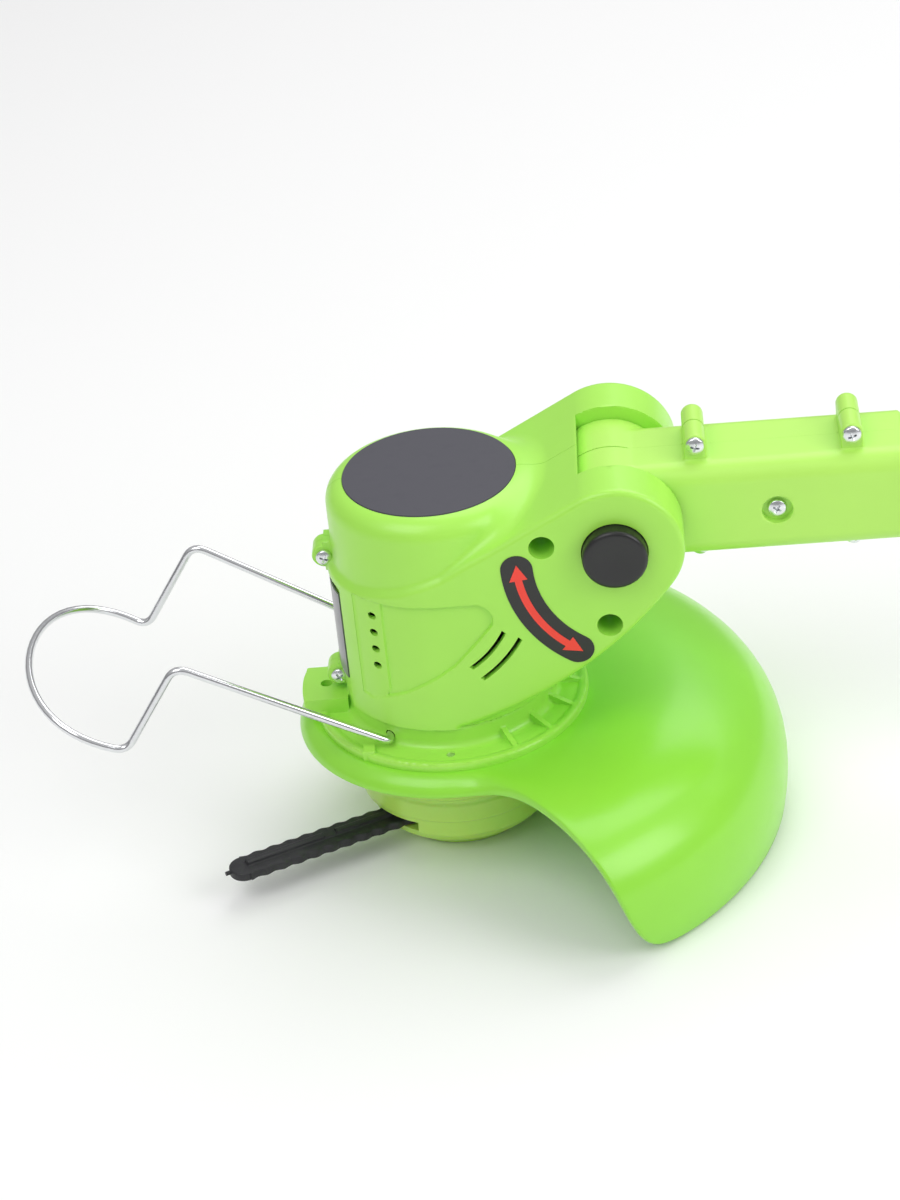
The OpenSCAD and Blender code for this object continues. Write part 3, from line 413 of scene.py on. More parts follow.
def moulded(name, colour, roughness=0.35, grain=0.0006, bump=0.04, drift=0.10, rubbing=0.06, **constants):
    """Moulded plastic. constants are set on the shader's own sockets."""
    amounts = {"Colour": (*colour, 1), "Drift": drift, "Roughness": roughness,
               "Grain size": grain, "Rubbing": rubbing}
    material = surfaced(name, skin_group, amounts, bump, 0.0004)
    for label, value in constants.items():
        material.node_tree.nodes["Principled BSDF"].inputs[label.replace("_", " ")].default_value = value
    return material


head_green = moulded("head_green", (0.40, 0.83, 0.095), 0.33, Coat_Weight=0.15, Coat_Roughness=0.2)
for name, side in (("head_shell_near", -1), ("head_shell_far", 1)):
    half = cast(name + "_skin", lambda x, y, z: np.maximum(head_field(x, y, z), SEAM - side * y),
                (-41, min(0, side * HEAD_R), HEAD_BOTTOM), (80, max(0, side * HEAD_R), HINGE[1] + EAR_R), 0.8)
    drill(half, head_cuts)
    lighten(half, 0.5)
    dress(half, head_green, "head", "head_green", name)

# ---- labels and sticker -------------------------------------------------------------------------
# Matt printed polyester: a round plate let into the top of the head, a curved one in the front
# window, and on the near plate a black sticker with a red double arrow for the tilt.
DECAL_C, DECAL_R, DECAL_ARC, DECAL_HALF = (64.7, 114.4), 38, (181.5, 237), 5.1


def plate(name, rim, thick, place):
    """Thin plate with a softened upper edge: rim is its outline in (u, v), and place(u, v, h) puts a
    point h above its seat into the frame."""
    shape = bmesh.new()
    middle = np.mean(rim, axis=0)
    rings = []
    for inset, height in ((0, 0), (0, 0.7 * thick), (0.12, thick)):
        ring = []
        for point in rim:
            shift = middle - np.array(point)
            spot = np.array(point) + shift / np.linalg.norm(shift) * inset
            ring.append(shape.verts.new([c * MM for c in place(spot[0], spot[1], height)]))
        rings.append(ring)
    for low, high in zip(rings, rings[1:]):
        band(shape, low, high)
    caps = [shape.faces.new(rings[0][::-1]), shape.faces.new(rings[-1])]
    bmesh.ops.triangulate(shape, faces=caps)
    bmesh.ops.recalc_face_normals(shape, faces=shape.faces)
    return show(name, mesh_from(name, shape))


label_grey = moulded("label_grey", (0.068, 0.067, 0.083), 0.55, grain=0.0003, bump=0.03, drift=0.06)
disc = plate("top_label_face", arc((0, 0), 28, 0, 360, 127)[:-1], 1.0,
             lambda u, v, h: (u, v, HEAD_TOP - 0.8 + h))
dress(disc, label_grey, "head", "label_grey", "top_label")

front_grid = bmesh.new()
bmesh.ops.create_grid(front_grid, x_segments=24, y_segments=12, size=1)
for vertex in front_grid.verts:
    angle, radius = math.pi - vertex.co.x * math.asin(15 / CORE_R), CORE_R + 0.55
    vertex.co = Vector((radius * math.cos(angle), radius * math.sin(angle), 80 + 16 * vertex.co.y)) * MM
front = show("front_label_face", mesh_from("front_label_face", front_grid))
body_of_plate = front.modifiers.new("thickness", "SOLIDIFY")
body_of_plate.thickness, body_of_plate.offset = 0.5 * MM, -1
bake_modifiers(front)
label_front = moulded("label_front", (0.16, 0.158, 0.18), 0.3, grain=0.0003, bump=0.02, drift=0.06,
                      Coat_Weight=0.3)
dress(front, label_front, "head", "label_grey", "front_label")


def polar(radius, angle):
    """Point at an angle round the sticker's arc centre."""
    return arc(DECAL_C, radius, angle, angle, 1)[0]


first, last = DECAL_ARC
film = arc(DECAL_C, DECAL_R + DECAL_HALF, first, last, 24)
film += arc(polar(DECAL_R, last), DECAL_HALF, last, last + 180, 14)[1:-1]
film += arc(DECAL_C, DECAL_R - DECAL_HALF, last, first, 24)
film += arc(polar(DECAL_R, first), DECAL_HALF, first - 180, first, 14)[1:-1]
arrow = arc(DECAL_C, DECAL_R + 1.2, first + 6, last - 6, 20)
arrow += [polar(DECAL_R + 2.9, last - 6), polar(DECAL_R, last + 2.6), polar(DECAL_R - 2.9, last - 6)]
arrow += arc(DECAL_C, DECAL_R - 1.2, last - 6, first + 6, 20)
arrow += [polar(DECAL_R - 2.9, first + 6), polar(DECAL_R, first - 2.6), polar(DECAL_R + 2.9, first + 6)]


def flat_print(name, rim, seat, thick):
    """Flat film with the given outline on the near side plate."""
    shape = bmesh.new()
    sheets = [[shape.verts.new((u * MM, -(seat + h) * MM, v * MM)) for u, v in rim] for h in (0, thick)]
    band(shape, *sheets)
    for corners in tessellate_polygon([[Vector((u, v, 0)) for u, v in rim]]):
        for sheet in sheets:
            shape.faces.new([sheet[i] for i in corners])
    bmesh.ops.recalc_face_normals(shape, faces=shape.faces)
    return show(name, mesh_from(name, shape))


sticker_black = moulded("sticker_black", (0.022, 0.021, 0.022), 0.42, grain=0.0003, bump=0.02)
sticker_red = moulded("sticker_red", (0.93, 0.055, 0.035), 0.42, grain=0.0003, bump=0.02)
dress(flat_print("sticker", film, HEAD_R, 0.2), sticker_black, "head", "decal_black", "tilt_decal",
      sharp=5)
dress(flat_print("sticker_arrow", arrow, HEAD_R + 0.2, 0.1), sticker_red, "head", "print_red", "tilt_arrow",
      sharp=5)

# ---- screws -------------------------------------------------------------------------------------
# Pan-head self-tapping screws of bright zinc-plated steel with a cross recess, driven from the
# near side: two down the deep wells and two in the front lugs of the head, five in the arm and
# seven in the handle.


def plated_group():
    """Plated metal: soft blotches of tone and fine scratches that lift the roughness."""
    group = surface_group("plated_metal", {"Roughness": 0.2, "Scratches": 0.1, "Scale": 400})
    nodes, link = group.nodes, group.links.new
    given, result = nodes.new("NodeGroupInput"), nodes.new("NodeGroupOutput")
    place, noise = nodes.new("ShaderNodeTexCoord"), nodes.new("ShaderNodeTexNoise")
    noise.inputs["Detail"].default_value = 6
    link(place.outputs["Object"], noise.inputs["Vector"])
    link(given.outputs["Scale"], noise.inputs["Scale"])
    lift, shade = nodes.new("ShaderNodeMath"), nodes.new("ShaderNodeMapRange")
    lift.operation = "MULTIPLY_ADD"
    link(noise.outputs["Fac"], lift.inputs[0])
    link(given.outputs["Scratches"], lift.inputs[1])
    link(given.outputs["Roughness"], lift.inputs[2])
    link(lift.outputs[0], result.inputs["Roughness"])
    shade.inputs["To Min"].default_value, shade.inputs["To Max"].default_value = 0.88, 1.06
    tone = nodes.new("ShaderNodeHueSaturation")
    link(noise.outputs["Fac"], shade.inputs["Value"])
    link(shade.outputs["Result"], tone.inputs["Value"])
    link(given.outputs["Colour"], tone.inputs["Color"])
    link(tone.outputs["Color"], result.inputs["Colour"])
    link(noise.outputs["Fac"], result.inputs["Height"])
    return group


plated_metal = plated_group()


def metal(name, colour, roughness, scratches=0.1, scale=400, bump=0.03):
    """Bright or plated metal."""
    amounts = {"Colour": (*colour, 1), "Roughness": roughness, "Scratches": scratches, "Scale": scale}
    material = surfaced(name, plated_metal, amounts, bump, 0.0002)
    material.node_tree.nodes["Principled BSDF"].inputs["Metallic"].default_value = 1
    return material


def cross_screw(name, head_radius, shank_radius, length):
    """Mesh of one screw pointing to +y, with the top of its pan head at y = 0."""

    def field(x, y, z):
        around = np.hypot(x, z)
        crown = np.hypot(np.hypot(x, z), y - 2 * head_radius - 0.2) - 2 * head_radius - 0.2
        pan = edge(np.maximum(around - head_radius, y - 2), crown, 0.35)
        tip = around - shank_radius + np.maximum(y - length + 1.5, 0) * 0.6
        thread = 0.16 * np.abs(((y * 1.1 + np.arctan2(z, x) / (2 * np.pi)) % 1) - 0.5) * 2 * (y > 3)
        shank = np.maximum(np.maximum(tip + thread - 0.08, 1.5 - y), y - length)
        depth = y - 1.25
        arm_x = np.maximum(np.abs(x) - 0.36 + 0.1 * y, np.abs(z) - 1.6 + 0.75 * y)
        arm_z = np.maximum(np.abs(z) - 0.36 + 0.1 * y, np.abs(x) - 1.6 + 0.75 * y)
        return np.maximum(np.minimum(pan, shank), -np.maximum(np.minimum(arm_x, arm_z), depth))

    piece = cast(name, field, (-head_radius, 0, -head_radius), (head_radius, length, head_radius), 0.22)
    mesh = piece.data
    bpy.data.objects.remove(piece)
    return mesh


def screw_row(name, mesh, places, turns):
    """One object with the screw at each place (x, y, z), turned about its axis."""
    shape = bmesh.new()
    for place, turn in zip(places, turns):
        copy = mesh.copy()
        copy.transform(Matrix.Translation(Vector(place) * MM) @ Matrix.Rotation(math.radians(turn), 4, "Y"))
        shape.from_mesh(copy)
        bpy.data.meshes.remove(copy)
    return show(name, mesh_from(name, shape))


zinc = metal("bright_zinc", (0.80, 0.82, 0.84), 0.16, 0.16, 900)
pan_screw = cross_screw("pan_screw", 3.0, 1.3, 16)
wells = [(x, -22, z) for x, z in DEEP_HOLES]
lug_places = [(LUG_X, -6, z) for z in LUGS]
short_screw = cross_screw("short_screw", 2.7, 1.3, 8.5)
dress(screw_row("head_screw_set", short_screw, lug_places, (20, -35)), zinc, "head", "zinc", "head_screws")
dress(screw_row("well_screw_set", pan_screw, wells, (10, 40)), zinc, "head", "zinc", "head_screws")

# ---- tilt button and far cap --------------------------------------------------------------------
# The black nylon button stands 5 mm out of the near ear and is pressed to free the tilt. A lime
# cap fills the far ear's bore.


def turned_y(name, profile, cell, round_off=0.0):
    """Solid turned round the hinge axis from a profile of (radius, y)."""
    def field(x, y, z):
        return outline(np.hypot(x - HINGE[0], z - HINGE[1]), y, profile) - round_off
    reach = max(p[0] for p in profile) + round_off
    return cast(name, field, (HINGE[0] - reach, min(p[1] for p in profile) - round_off, HINGE[1] - reach),
                (HINGE[0] + reach, max(p[1] for p in profile) + round_off, HINGE[1] + reach), cell)


button_profile = ([(0, -40.6), (7.2, -41)] + arc((8.9, -39.6), 1.4, 270, 360, 8)
                  + [(10.3, -23), (8, -23), (8, -34), (3, -34), (3, -9.4), (0, -9.4)])
button = turned_y("tilt_button_cap", button_profile, 0.6)
button_black = moulded("button_black", (0.010, 0.010, 0.011), 0.36, grain=0.0004, bump=0.05, Coat_Weight=0.1)
dress(button, button_black, "tilt_button", "black_plastic", "tilt_button")
cap_profile = [(0, 36.9)] + arc((9.4, 36.2), 1, 90, 0, 6) + [(10.4, 14), (8, 14), (8, 30), (0, 30)]
far_cap = turned_y("pivot_cap_far", cap_profile, 0.7)
dress(far_cap, head_green, "head", "head_green", "pivot_cap")
tooth_steel = metal("ground_steel", (0.58, 0.59, 0.61), 0.3, 0.15, 300)

# ---- collar -------------------------------------------------------------------------------------
# One lime ring under the head: a neck that fits inside the shells and carries the motor, a dished
# floor with a raised rim, ribs at the back, bores for the wire's ends and a front tab with a 4 mm
# hole.
COLLAR_Z, WIRE_AT, WIRE_R, WIRE_HALF = 44.8, (-19.6, 49.3), 1.3, 37.5
collar_profile = ([(45.4, COLLAR_Z), (45.4, 46.3)] + arc((44.2, 46.4), 1.2, 0, 100, 6)
                  + [(42.8, 47.4), (42, 46.8), (37.2, 46.8)] + arc((37, 49.4), 2.6, 270, 180, 6)
                  + [(34.4, 54), (34.1, 54.3), (33.2, 54.3), (33.2, 70), (30.8, 70), (30.8, 60.2), (6.6, 60.2),
                     (6.6, 57), (29.4, 57), (30.8, 54), (31.4, 47.8), (33, COLLAR_Z)])


def collar_field(x, y, z):
    around = np.hypot(x, y)
    whole = outline(around, z, collar_profile)
    angle = np.degrees(np.arctan2(y, x))
    to_rib = around * np.sin(np.radians((angle + 10) % 20 - 10))
    rib = np.maximum(np.abs(to_rib) - 0.9, np.maximum(34 - around, around - 43))
    rib = np.maximum(np.maximum(rib, np.abs(angle) - 67), np.maximum(46 - z, z - 50.4 + (around - 34) * 0.35))
    whole = fillet(whole, rib, 0.7)
    tab = edge(block(x, y, z, (-50, -10, 46.9), (-34, 10, 52.3)), around - 49.6, 0.8)
    tab = np.maximum(tab, -block(x, y, z, (-47.5, -7.5, 45), (-38.8, 7.5, 49.8)))
    tab = np.minimum(tab, block(x, y, z, (-45, -3, 46.5), (-38, 3, 50)))
    whole = fillet(whole, np.maximum(tab, 34 - around), 0.8)
    nib = edge(block(x, y, z, (-28.5, -36.4, COLLAR_Z), (-24.6, -32, 48.6)), z - 48.6, 0.4)
    whole = np.minimum(whole, nib)
    for side in (-1, 1):
        whole = np.maximum(whole, -rod_y(x, side * y, z, WIRE_AT, WIRE_R + 0.15, 22, 37))
    for turn in (30, 150, 270):
        for reach, radius, low, high in ((38.5, 1.4, 40, 46.4), (12, 1.7, 50, 64)):
            hole_x, hole_y = reach * math.cos(math.radians(turn)), reach * math.sin(math.radians(turn))
            hole = np.maximum(np.hypot(x - hole_x, y - hole_y) - radius, np.maximum(low - z, z - high))
            whole = np.maximum(whole, -hole)
    return whole


collar = cast("collar_ring", collar_field, (-50, -45.4, COLLAR_Z), (45.4, 45.4, 70), 0.8)
drill(collar, [rod("tab_hole", (-41.5, 0, 40), (-41.5, 0, 60), 2, 48)])
lighten(collar, 0.6)
dress(collar, head_green, "head", "head_green", "collar")

# ---- guard --------------------------------------------------------------------------------------
# Debris guard moulded in tougher, greener polypropylene: a ring under the collar, a narrow bead
# in front and a deep bell-shaped skirt behind. Three screws hold it up to the collar.
GUARD_T, GUARD_HOLE = 3.0, 33.2
# Half of the free edge as (azimuth, share of the full skirt, drop of the front lip)
guard_edge = [(azimuth, 0.055, 3.6) for azimuth in (-180, -170, -150, -130, -110, -96, -86)]
guard_edge += [(-78, 0.075, 3), (-70, 0.18, 1.2), (-65.5, 0.42, 0), (-62.5, 0.68, 0), (-60.5, 0.86, 0),
               (-57, 0.98, 0)]
guard_edge += [(azimuth, 1, 0) for azimuth in (-51, -43, -30, -15, -5, 0)]
skirt = np.array([(45.6, COLLAR_Z), (75, 51.5), (119, 50.5), (108.5, 0)])


def edge_at(share):
    """Row of the free edge at share 0 to 1 of half the guard: a clamped uniform cubic B-spline."""
    rows = np.array(guard_edge, float)
    at = share * (len(rows) + 1)
    base = min(int(at), len(rows))
    t = at - base
    weights = ((1 - t) ** 3, 3 * t ** 3 - 6 * t * t + 4, 3 * t * (1 + t - t * t) + 1, t ** 3)
    return sum(w * rows[min(max(base - 2 + i, 0), len(rows) - 1)] for i, w in enumerate(weights)) / 6


def guard_point(row, out, inward):
    """Point on the guard: out runs 0 to 1 to the free edge, inward is the depth below the top face."""
    t = row[1] * out
    spot = np.dot(((1 - t) ** 3, 3 * (1 - t) ** 2 * t, 3 * (1 - t) * t * t, t ** 3), skirt)
    run = np.dot(((1 - t) ** 2, 2 * (1 - t) * t, t * t), np.diff(skirt, axis=0))
    run /= np.linalg.norm(run)
    radius, height = spot[0] + run[1] * inward, spot[1] - run[0] * inward - row[2] * out * out
    angle = math.radians(row[0])
    return np.array((radius * math.cos(angle), radius * math.sin(angle), height))


columns, steps, lip_steps = 240, 26, 7
half_rows = [edge_at(i / (columns // 2)) for i in range(columns // 2 + 1)]
rows = half_rows + [r * np.array((-1, 1, 1)) for r in half_rows[-2:0:-1]]
guard_shape = bmesh.new()
loops = []
for row in rows:
    hole = np.array((math.cos(math.radians(row[0])), math.sin(math.radians(row[0])), 0)) * GUARD_HOLE
    end = 1 - 0.012 * row[1]
    ring = [hole + (0, 0, COLLAR_Z - 0.02)]
    ring += [guard_point(row, end * k / steps, 0.02) for k in range(steps + 1)]
    run = guard_point(row, end, GUARD_T / 2) - guard_point(row, end - 0.01, GUARD_T / 2)
    run /= np.linalg.norm(run)
    top, bottom = guard_point(row, end, 0.02), guard_point(row, end, GUARD_T)
    for k in range(1, lip_steps):
        swing = math.pi * k / lip_steps
        middle, across = (top + bottom) / 2, (top - bottom) / 2
        ring.append(middle + across * math.cos(swing) + run * np.linalg.norm(across) * math.sin(swing))
    ring += [guard_point(row, end * k / steps, GUARD_T) for k in range(steps, -1, -1)]
    ring.append(hole + (0, 0, COLLAR_Z - GUARD_T))
    loops.append([guard_shape.verts.new((p[0] * MM, p[1] * MM, max(p[2], 0) * MM)) for p in ring])
for one, other in zip(loops, loops[1:] + loops[:1]):
    band(guard_shape, one, other)
bmesh.ops.recalc_face_normals(guard_shape, faces=guard_shape.faces)
guard = show("guard_skirt", mesh_from("guard_skirt", guard_shape))
drill(guard, [rod("tab_hole", (-41.5, 0, 30), (-41.5, 0, 60), 2.3, 48)])
guard_green = moulded("guard_green", (0.30, 0.76, 0.050), 0.30, bump=0.03, drift=0.12, Coat_Weight=0.2,
                      Coat_Roughness=0.15)
dress(guard, guard_green, "head", "guard_green", "guard", sharp=50)

# ---- wire plant guard ---------------------------------------------------------------------------
# One bent, nickel-plated steel wire: its ends are sprung into the collar, two legs rise past the
# head and fold forward into the long front loop that keeps plants away from the blade.
LOOP_C, LOOP_TILT = np.array((-104.6, 0, 56)), math.radians(26.5)
wire_leg = [np.array((WIRE_AT[0], 32.6, WIRE_AT[1])), np.array((-85, WIRE_HALF, 87))]


def loop_point(degrees):
    a = math.radians(degrees)
    along, across = math.sin(a), math.cos(a) * (1 + 0.3 * math.sin(a))
    return LOOP_C + WIRE_HALF * np.array((-along * math.cos(LOOP_TILT), across, along * math.sin(LOOP_TILT)))


def corner(before, at, after, radius=5.0, count=7):
    """Points that round the corner at `at` with a quadratic curve."""
    start = at + (before - at) / np.linalg.norm(before - at) * radius
    end = at + (after - at) / np.linalg.norm(after - at) * radius
    return [(1 - t) ** 2 * start + 2 * t * (1 - t) * at + t * t * end for t in np.linspace(0, 1, count)]


half_route = [np.array((WIRE_AT[0], 23.4, WIRE_AT[1]))]
half_route += corner(half_route[0], wire_leg[0], wire_leg[1], 2.6)
half_route += corner(wire_leg[0], wire_leg[1], loop_point(0))
half_route += corner(wire_leg[1], loop_point(0), loop_point(8), 4.6)
half_route += [loop_point(a) for a in range(12, 91, 6)]
wire_points = half_route + [p * np.array((1, -1, 1)) for p in half_route[-2::-1]]


def tube(name, points, radius, sides=16):
    """Round rod swept along the points, closed at both ends."""
    points = [np.array(p, float) for p in points]
    shape = bmesh.new()
    side, rings = None, []
    for i, point in enumerate(points):
        run = points[min(i + 1, len(points) - 1)] - points[max(i - 1, 0)]
        run /= np.linalg.norm(run)
        if side is None:
            side = np.cross(run, (0.3, 0.2, 0.9))
        side = side - run * np.dot(side, run)
        side /= np.linalg.norm(side)
        other = np.cross(run, side)
        turns = np.linspace(0, 2 * math.pi, sides, endpoint=False)
        rings.append([shape.verts.new((point + radius * (math.cos(a) * side + math.sin(a) * other)) * MM)
                      for a in turns])
    for low, high in zip(rings, rings[1:]):
        band(shape, low, high)
    shape.faces.new(rings[0][::-1])
    shape.faces.new(rings[-1])
    bmesh.ops.recalc_face_normals(shape, faces=shape.faces)
    return show(name, mesh_from(name, shape))


chrome = metal("bright_wire", (0.78, 0.79, 0.81), 0.10, 0.12, 700)
dress(tube("plant_guard_wire", wire_points, WIRE_R), chrome, "wire_guard", "wire", "wire_guard", sharp=50)

# ---- cutter hub and its cover -------------------------------------------------------------------
# Two turned-looking discs moulded in a slightly clear lime plastic: the hub above and a stepped
# cover below, soft-edged at each tier, with a window that the blade swings in.
HUB_R, HUB_BASE, PIN_AT, PIN_R, BLADE_Z = 34.5, 16, (-7.5, -13.4), 2.6, 9.4
hub_profile = ([(2.5, HUB_BASE)] + arc((HUB_R - 1.4, 17.1), 1.1, 270, 350, 5)
               + [(HUB_R - 0.25, 22.6), (HUB_R - 0.8, 23.8), (HUB_R - 0.8, 24.6), (HUB_R - 0.1, 25.6)]
               + arc((HUB_R - 1.6, 31.4), 1.6, 0, 90, 6)
               + [(HUB_R - 3, 33), (HUB_R - 3, 19), (7, 19), (7, 36), (2.5, 36)])
cover_profile = [(0, 0)] + arc((22.2, 1.3), 1.3, 270, 350, 4) + [(25.1, 3)] + arc((26, 4.4), 0.7, 180, 90, 3)
cover_profile += arc((28.3, 6.6), 1.3, 280, 350, 4) + [(30.1, 8.2), (30.7, 9)]
cover_profile += arc((31.9, 10.6), 1.3, 280, 355, 4) + [(33.5, HUB_BASE), (0, HUB_BASE)]


def hub_field(x, y, z):
    around, angle = np.hypot(x, y), np.arctan2(y, x)
    whole = outline(around, z, hub_profile)
    turn = (angle + np.pi / 6) % (np.pi / 3) - np.pi / 6
    rib = np.maximum(np.abs(around * np.sin(turn)) - 0.8, np.maximum(6 - around, around - 29.5))
    rib = np.maximum(rib, z - 27)
    whole = np.minimum(whole, np.maximum(rib, 18 - z))
    pin = np.maximum(np.hypot(x - PIN_AT[0], y - PIN_AT[1]) - PIN_R, z - 18)
    return np.maximum(whole, -pin)


blade_window = ([(PIN_AT[0] + 6, PIN_AT[1] + 6)] + arc((0, 0), 45, 160, 240, 20)
                + [(PIN_AT[0] + 8, PIN_AT[1] - 2)])


def cover_field(x, y, z):
    whole = outline(np.hypot(x, y), z, cover_profile)
    window = np.maximum(outline(x, y, blade_window), np.maximum(BLADE_Z - 0.6 - z, z - BLADE_Z - 5))
    whole = edge(whole, -window, 0.4)
    whole = np.maximum(whole, -np.maximum(np.hypot(x, y) - 6, 8 - z))
    return np.maximum(whole, -np.maximum(np.hypot(x - PIN_AT[0], y - PIN_AT[1]) - PIN_R, 7 - z))


hub_green = moulded("hub_green", (0.56, 0.88, 0.15), 0.28, bump=0.03, Coat_Weight=0.2, Subsurface_Weight=0.25,
                    Subsurface_Scale=0.004)
hub = cast("hub_body", hub_field, (-HUB_R, -HUB_R, HUB_BASE), (HUB_R, HUB_R, 36), 0.6)
lighten(hub, 0.5)
dress(hub, hub_green, "cutter", "hub_green", "hub")
cover = cast("hub_cover_body", cover_field, (-34, -34, 0), (34, 34, HUB_BASE), 0.55)
lighten(cover, 0.5)
dress(cover, hub_green, "cutter", "hub_green", "hub_cover")

# ---- blade --------------------------------------------------------------------------------------
# The snap-on blade, moulded in tough charcoal nylon: scalloped edges, a rib along the middle and a
# round tip. It hangs loose on the pin, and centrifugal pull holds it out.
BLADE_LEN, BLADE_HALF, BLADE_DIR = 76, 5.6, math.radians(206)


def blade_field(x, y, z):
    run_x, run_y = x - PIN_AT[0], y - PIN_AT[1]
    u = run_x * math.cos(BLADE_DIR) + run_y * math.sin(BLADE_DIR)
    v = -run_x * math.sin(BLADE_DIR) + run_y * math.cos(BLADE_DIR)
    h = z - BLADE_Z
    wave = 0.35 * (1 - np.cos(np.radians(u * 61))) * (u > 7)
    bar = np.abs(v) - BLADE_HALF + wave + 0.3 * np.clip(1 - u / 8, 0, 1)
    bar = np.maximum(bar, np.maximum(-u, u - BLADE_LEN + 5.2))
    tip = np.hypot(u - BLADE_LEN + 5.2, v) - 5.2
    nub = np.maximum(np.hypot(v, h - 2) - 0.7, np.maximum(BLADE_LEN - 2 - u, u - BLADE_LEN - 1.6))
    plan = np.minimum(bar, tip)
    flat = edge(edge(plan, h - 3, 0.7), -h, 0.5)
    ridge = np.maximum(np.abs(v) - 1.3, np.maximum(2 - u, u - BLADE_LEN + 6))
    ridge = edge(edge(ridge, h - 4.4, 0.6), -h, 0.3)
    whole = fillet(flat, ridge, 0.7)
    boss = edge(edge(np.hypot(u, v) - 5.4, h - 4.4, 0.6), -h, 0.3)
    whole = fillet(whole, boss, 0.5)
    whole = np.minimum(np.maximum(whole, -np.maximum(np.hypot(u - 40, v) - 2.4, 3.6 - h)), nub)
    return np.maximum(whole, PIN_R + 0.08 - np.hypot(u, v))


blade = cast("blade_body", blade_field, (-82, -54, BLADE_Z), (0, -6, BLADE_Z + 4.4), 0.45)
lighten(blade, 0.5)
blade_nylon = moulded("blade_nylon", (0.018, 0.018, 0.021), 0.45, grain=0.0005, bump=0.08, drift=0.2,
                      rubbing=0.2)
dress(blade, blade_nylon, "blade", "blade_plastic", "blade")

# ---- arm ----------------------------------------------------------------------------------------
# Two half shells of a slightly yellower lime plastic, screwed together over the tube. The barrel
# at the front turns between the head's ears.
ARM_END, ARM_LUGS, SIDE_SCREW = 151.8, (85.1, 134.4), (109.8, 117)


def arm_field(x, y, z):
    box = edge(np.abs(y) - 17, np.abs(z - 117.3) - 16.3, 6.5)
    box = edge(np.maximum(box, HINGE[0] - x), x - ARM_END, 1.6)
    barrel = edge(np.hypot(x - HINGE[0], z - HINGE[1]) - BARREL_R, np.abs(y) - 18.7, 1.2)
    whole = fillet(box, barrel, 0.6)
    for at in ARM_LUGS:
        for middle, low, high, reach in ((139, 127, 139, 10.5), (99.5, 99.5, 106, 6)):
            lug = np.hypot(x - at, z - middle) - 3.5
            lug = np.minimum(lug, np.maximum(np.abs(x - at) - 3.5, np.maximum(low - z, z - high)))
            whole = fillet(whole, edge(lug, np.abs(y) - reach, 0.7), 0.9)
    hollow = edge(np.abs(y) - 14.4, np.abs(z - 117.3) - 13.7, 4)
    hollow = np.maximum(np.maximum(hollow, 78 - x), x - ARM_END + 3)
    for start in (84.8, 133.8):
        hollow = np.maximum(hollow, -np.maximum(start - x, x - start - 3))
    hollow = np.maximum(hollow, 6 - np.hypot(x - SIDE_SCREW[0], z - SIDE_SCREW[1]))
    whole = np.maximum(whole, -hollow)
    bore = np.maximum(np.hypot(y, z - HINGE[1]) - 11, 87.8 - x)
    pillar = np.maximum(np.hypot(x - SIDE_SCREW[0], z - SIDE_SCREW[1]) - 6, np.abs(y) - 15.6)
    whole = np.minimum(np.maximum(whole, -bore), pillar)
    recess = np.maximum(np.hypot(x - SIDE_SCREW[0], z - SIDE_SCREW[1]) - 4.9, y + 14.5)
    whole = edge(whole, -recess, 0.4)
    round_hinge = np.hypot(x - HINGE[0], z - HINGE[1])
    whole = np.maximum(whole, -np.maximum(round_hinge - 12.06, 12.7 - np.abs(y)))
    whole = np.maximum(whole, -np.maximum(round_hinge - 10.3, np.maximum(-13 - y, y - 13.9)))
    return np.maximum(whole, -np.maximum(np.abs(y) - 0.25, -box - 0.45))


arm_green = moulded("arm_green", (0.47, 0.84, 0.13), 0.36, grain=0.0005, bump=0.05, Coat_Weight=0.1)
for name, side in (("arm_near", -1), ("arm_far", 1)):
    half = cast(name + "_skin", lambda x, y, z: np.maximum(arm_field(x, y, z), 0.02 - side * y),
                (39.9, min(0, side * 18.8), 95.9), (ARM_END, max(0, side * 18.8), 142.6), 0.75)
    drill(half, [rod("lug_hole", (at, -12, 139), (at, 8, 139), 1.45, 24) for at in ARM_LUGS]
          + [rod("lug_hole", (at, -12, 99.5), (at, 5.5, 99.5), 1.45, 24) for at in ARM_LUGS]
          + [rod("head_pocket", (at, -16, 99.5), (at, -6, 99.5), 3, 48) for at in ARM_LUGS]
          + [rod("side_hole", (109.8, -16, 117), (109.8, 15, 117), 1.45, 24)])
    lighten(half, 0.5)
    dress(half, arm_green, "arm", "arm_green", name)
arm_places = [(at, -12.5, 139) for at in ARM_LUGS] + [(109.8, -16.6, 117)]
dress(screw_row("arm_screw_set", pan_screw, arm_places, (15, -20, 30)), zinc, "arm", "zinc", "arm_screws")
lower_places = [(at, -8, 99.5) for at in ARM_LUGS]
dress(screw_row("lower_screw_set", short_screw, lower_places, (50, 70)), zinc, "arm", "zinc", "arm_screws")

# ---- pole and its twist lock --------------------------------------------------------------------
# A drawn aluminium inner tube slides in a black powder-coated outer one. The split nylon collet
# grips it when the ribbed sleeve is twisted.


def turned_x(name, profile, x0, sides=128):
    """Solid turned round the pole's axis from a closed profile of (radius, distance past x0)."""
    shape = bmesh.new()
    turns = np.linspace(0, 2 * math.pi, sides, endpoint=False)
    rings = [[shape.verts.new(((x0 + along) * MM, radius * math.cos(a) * MM,
                               (HINGE[1] + radius * math.sin(a)) * MM)) for a in turns]
             for radius, along in profile]
    for one, other in zip(rings, rings[1:] + rings[:1]):
        band(shape, one, other)
    bmesh.ops.recalc_face_normals(shape, faces=shape.faces)
    return show(name, mesh_from(name, shape))


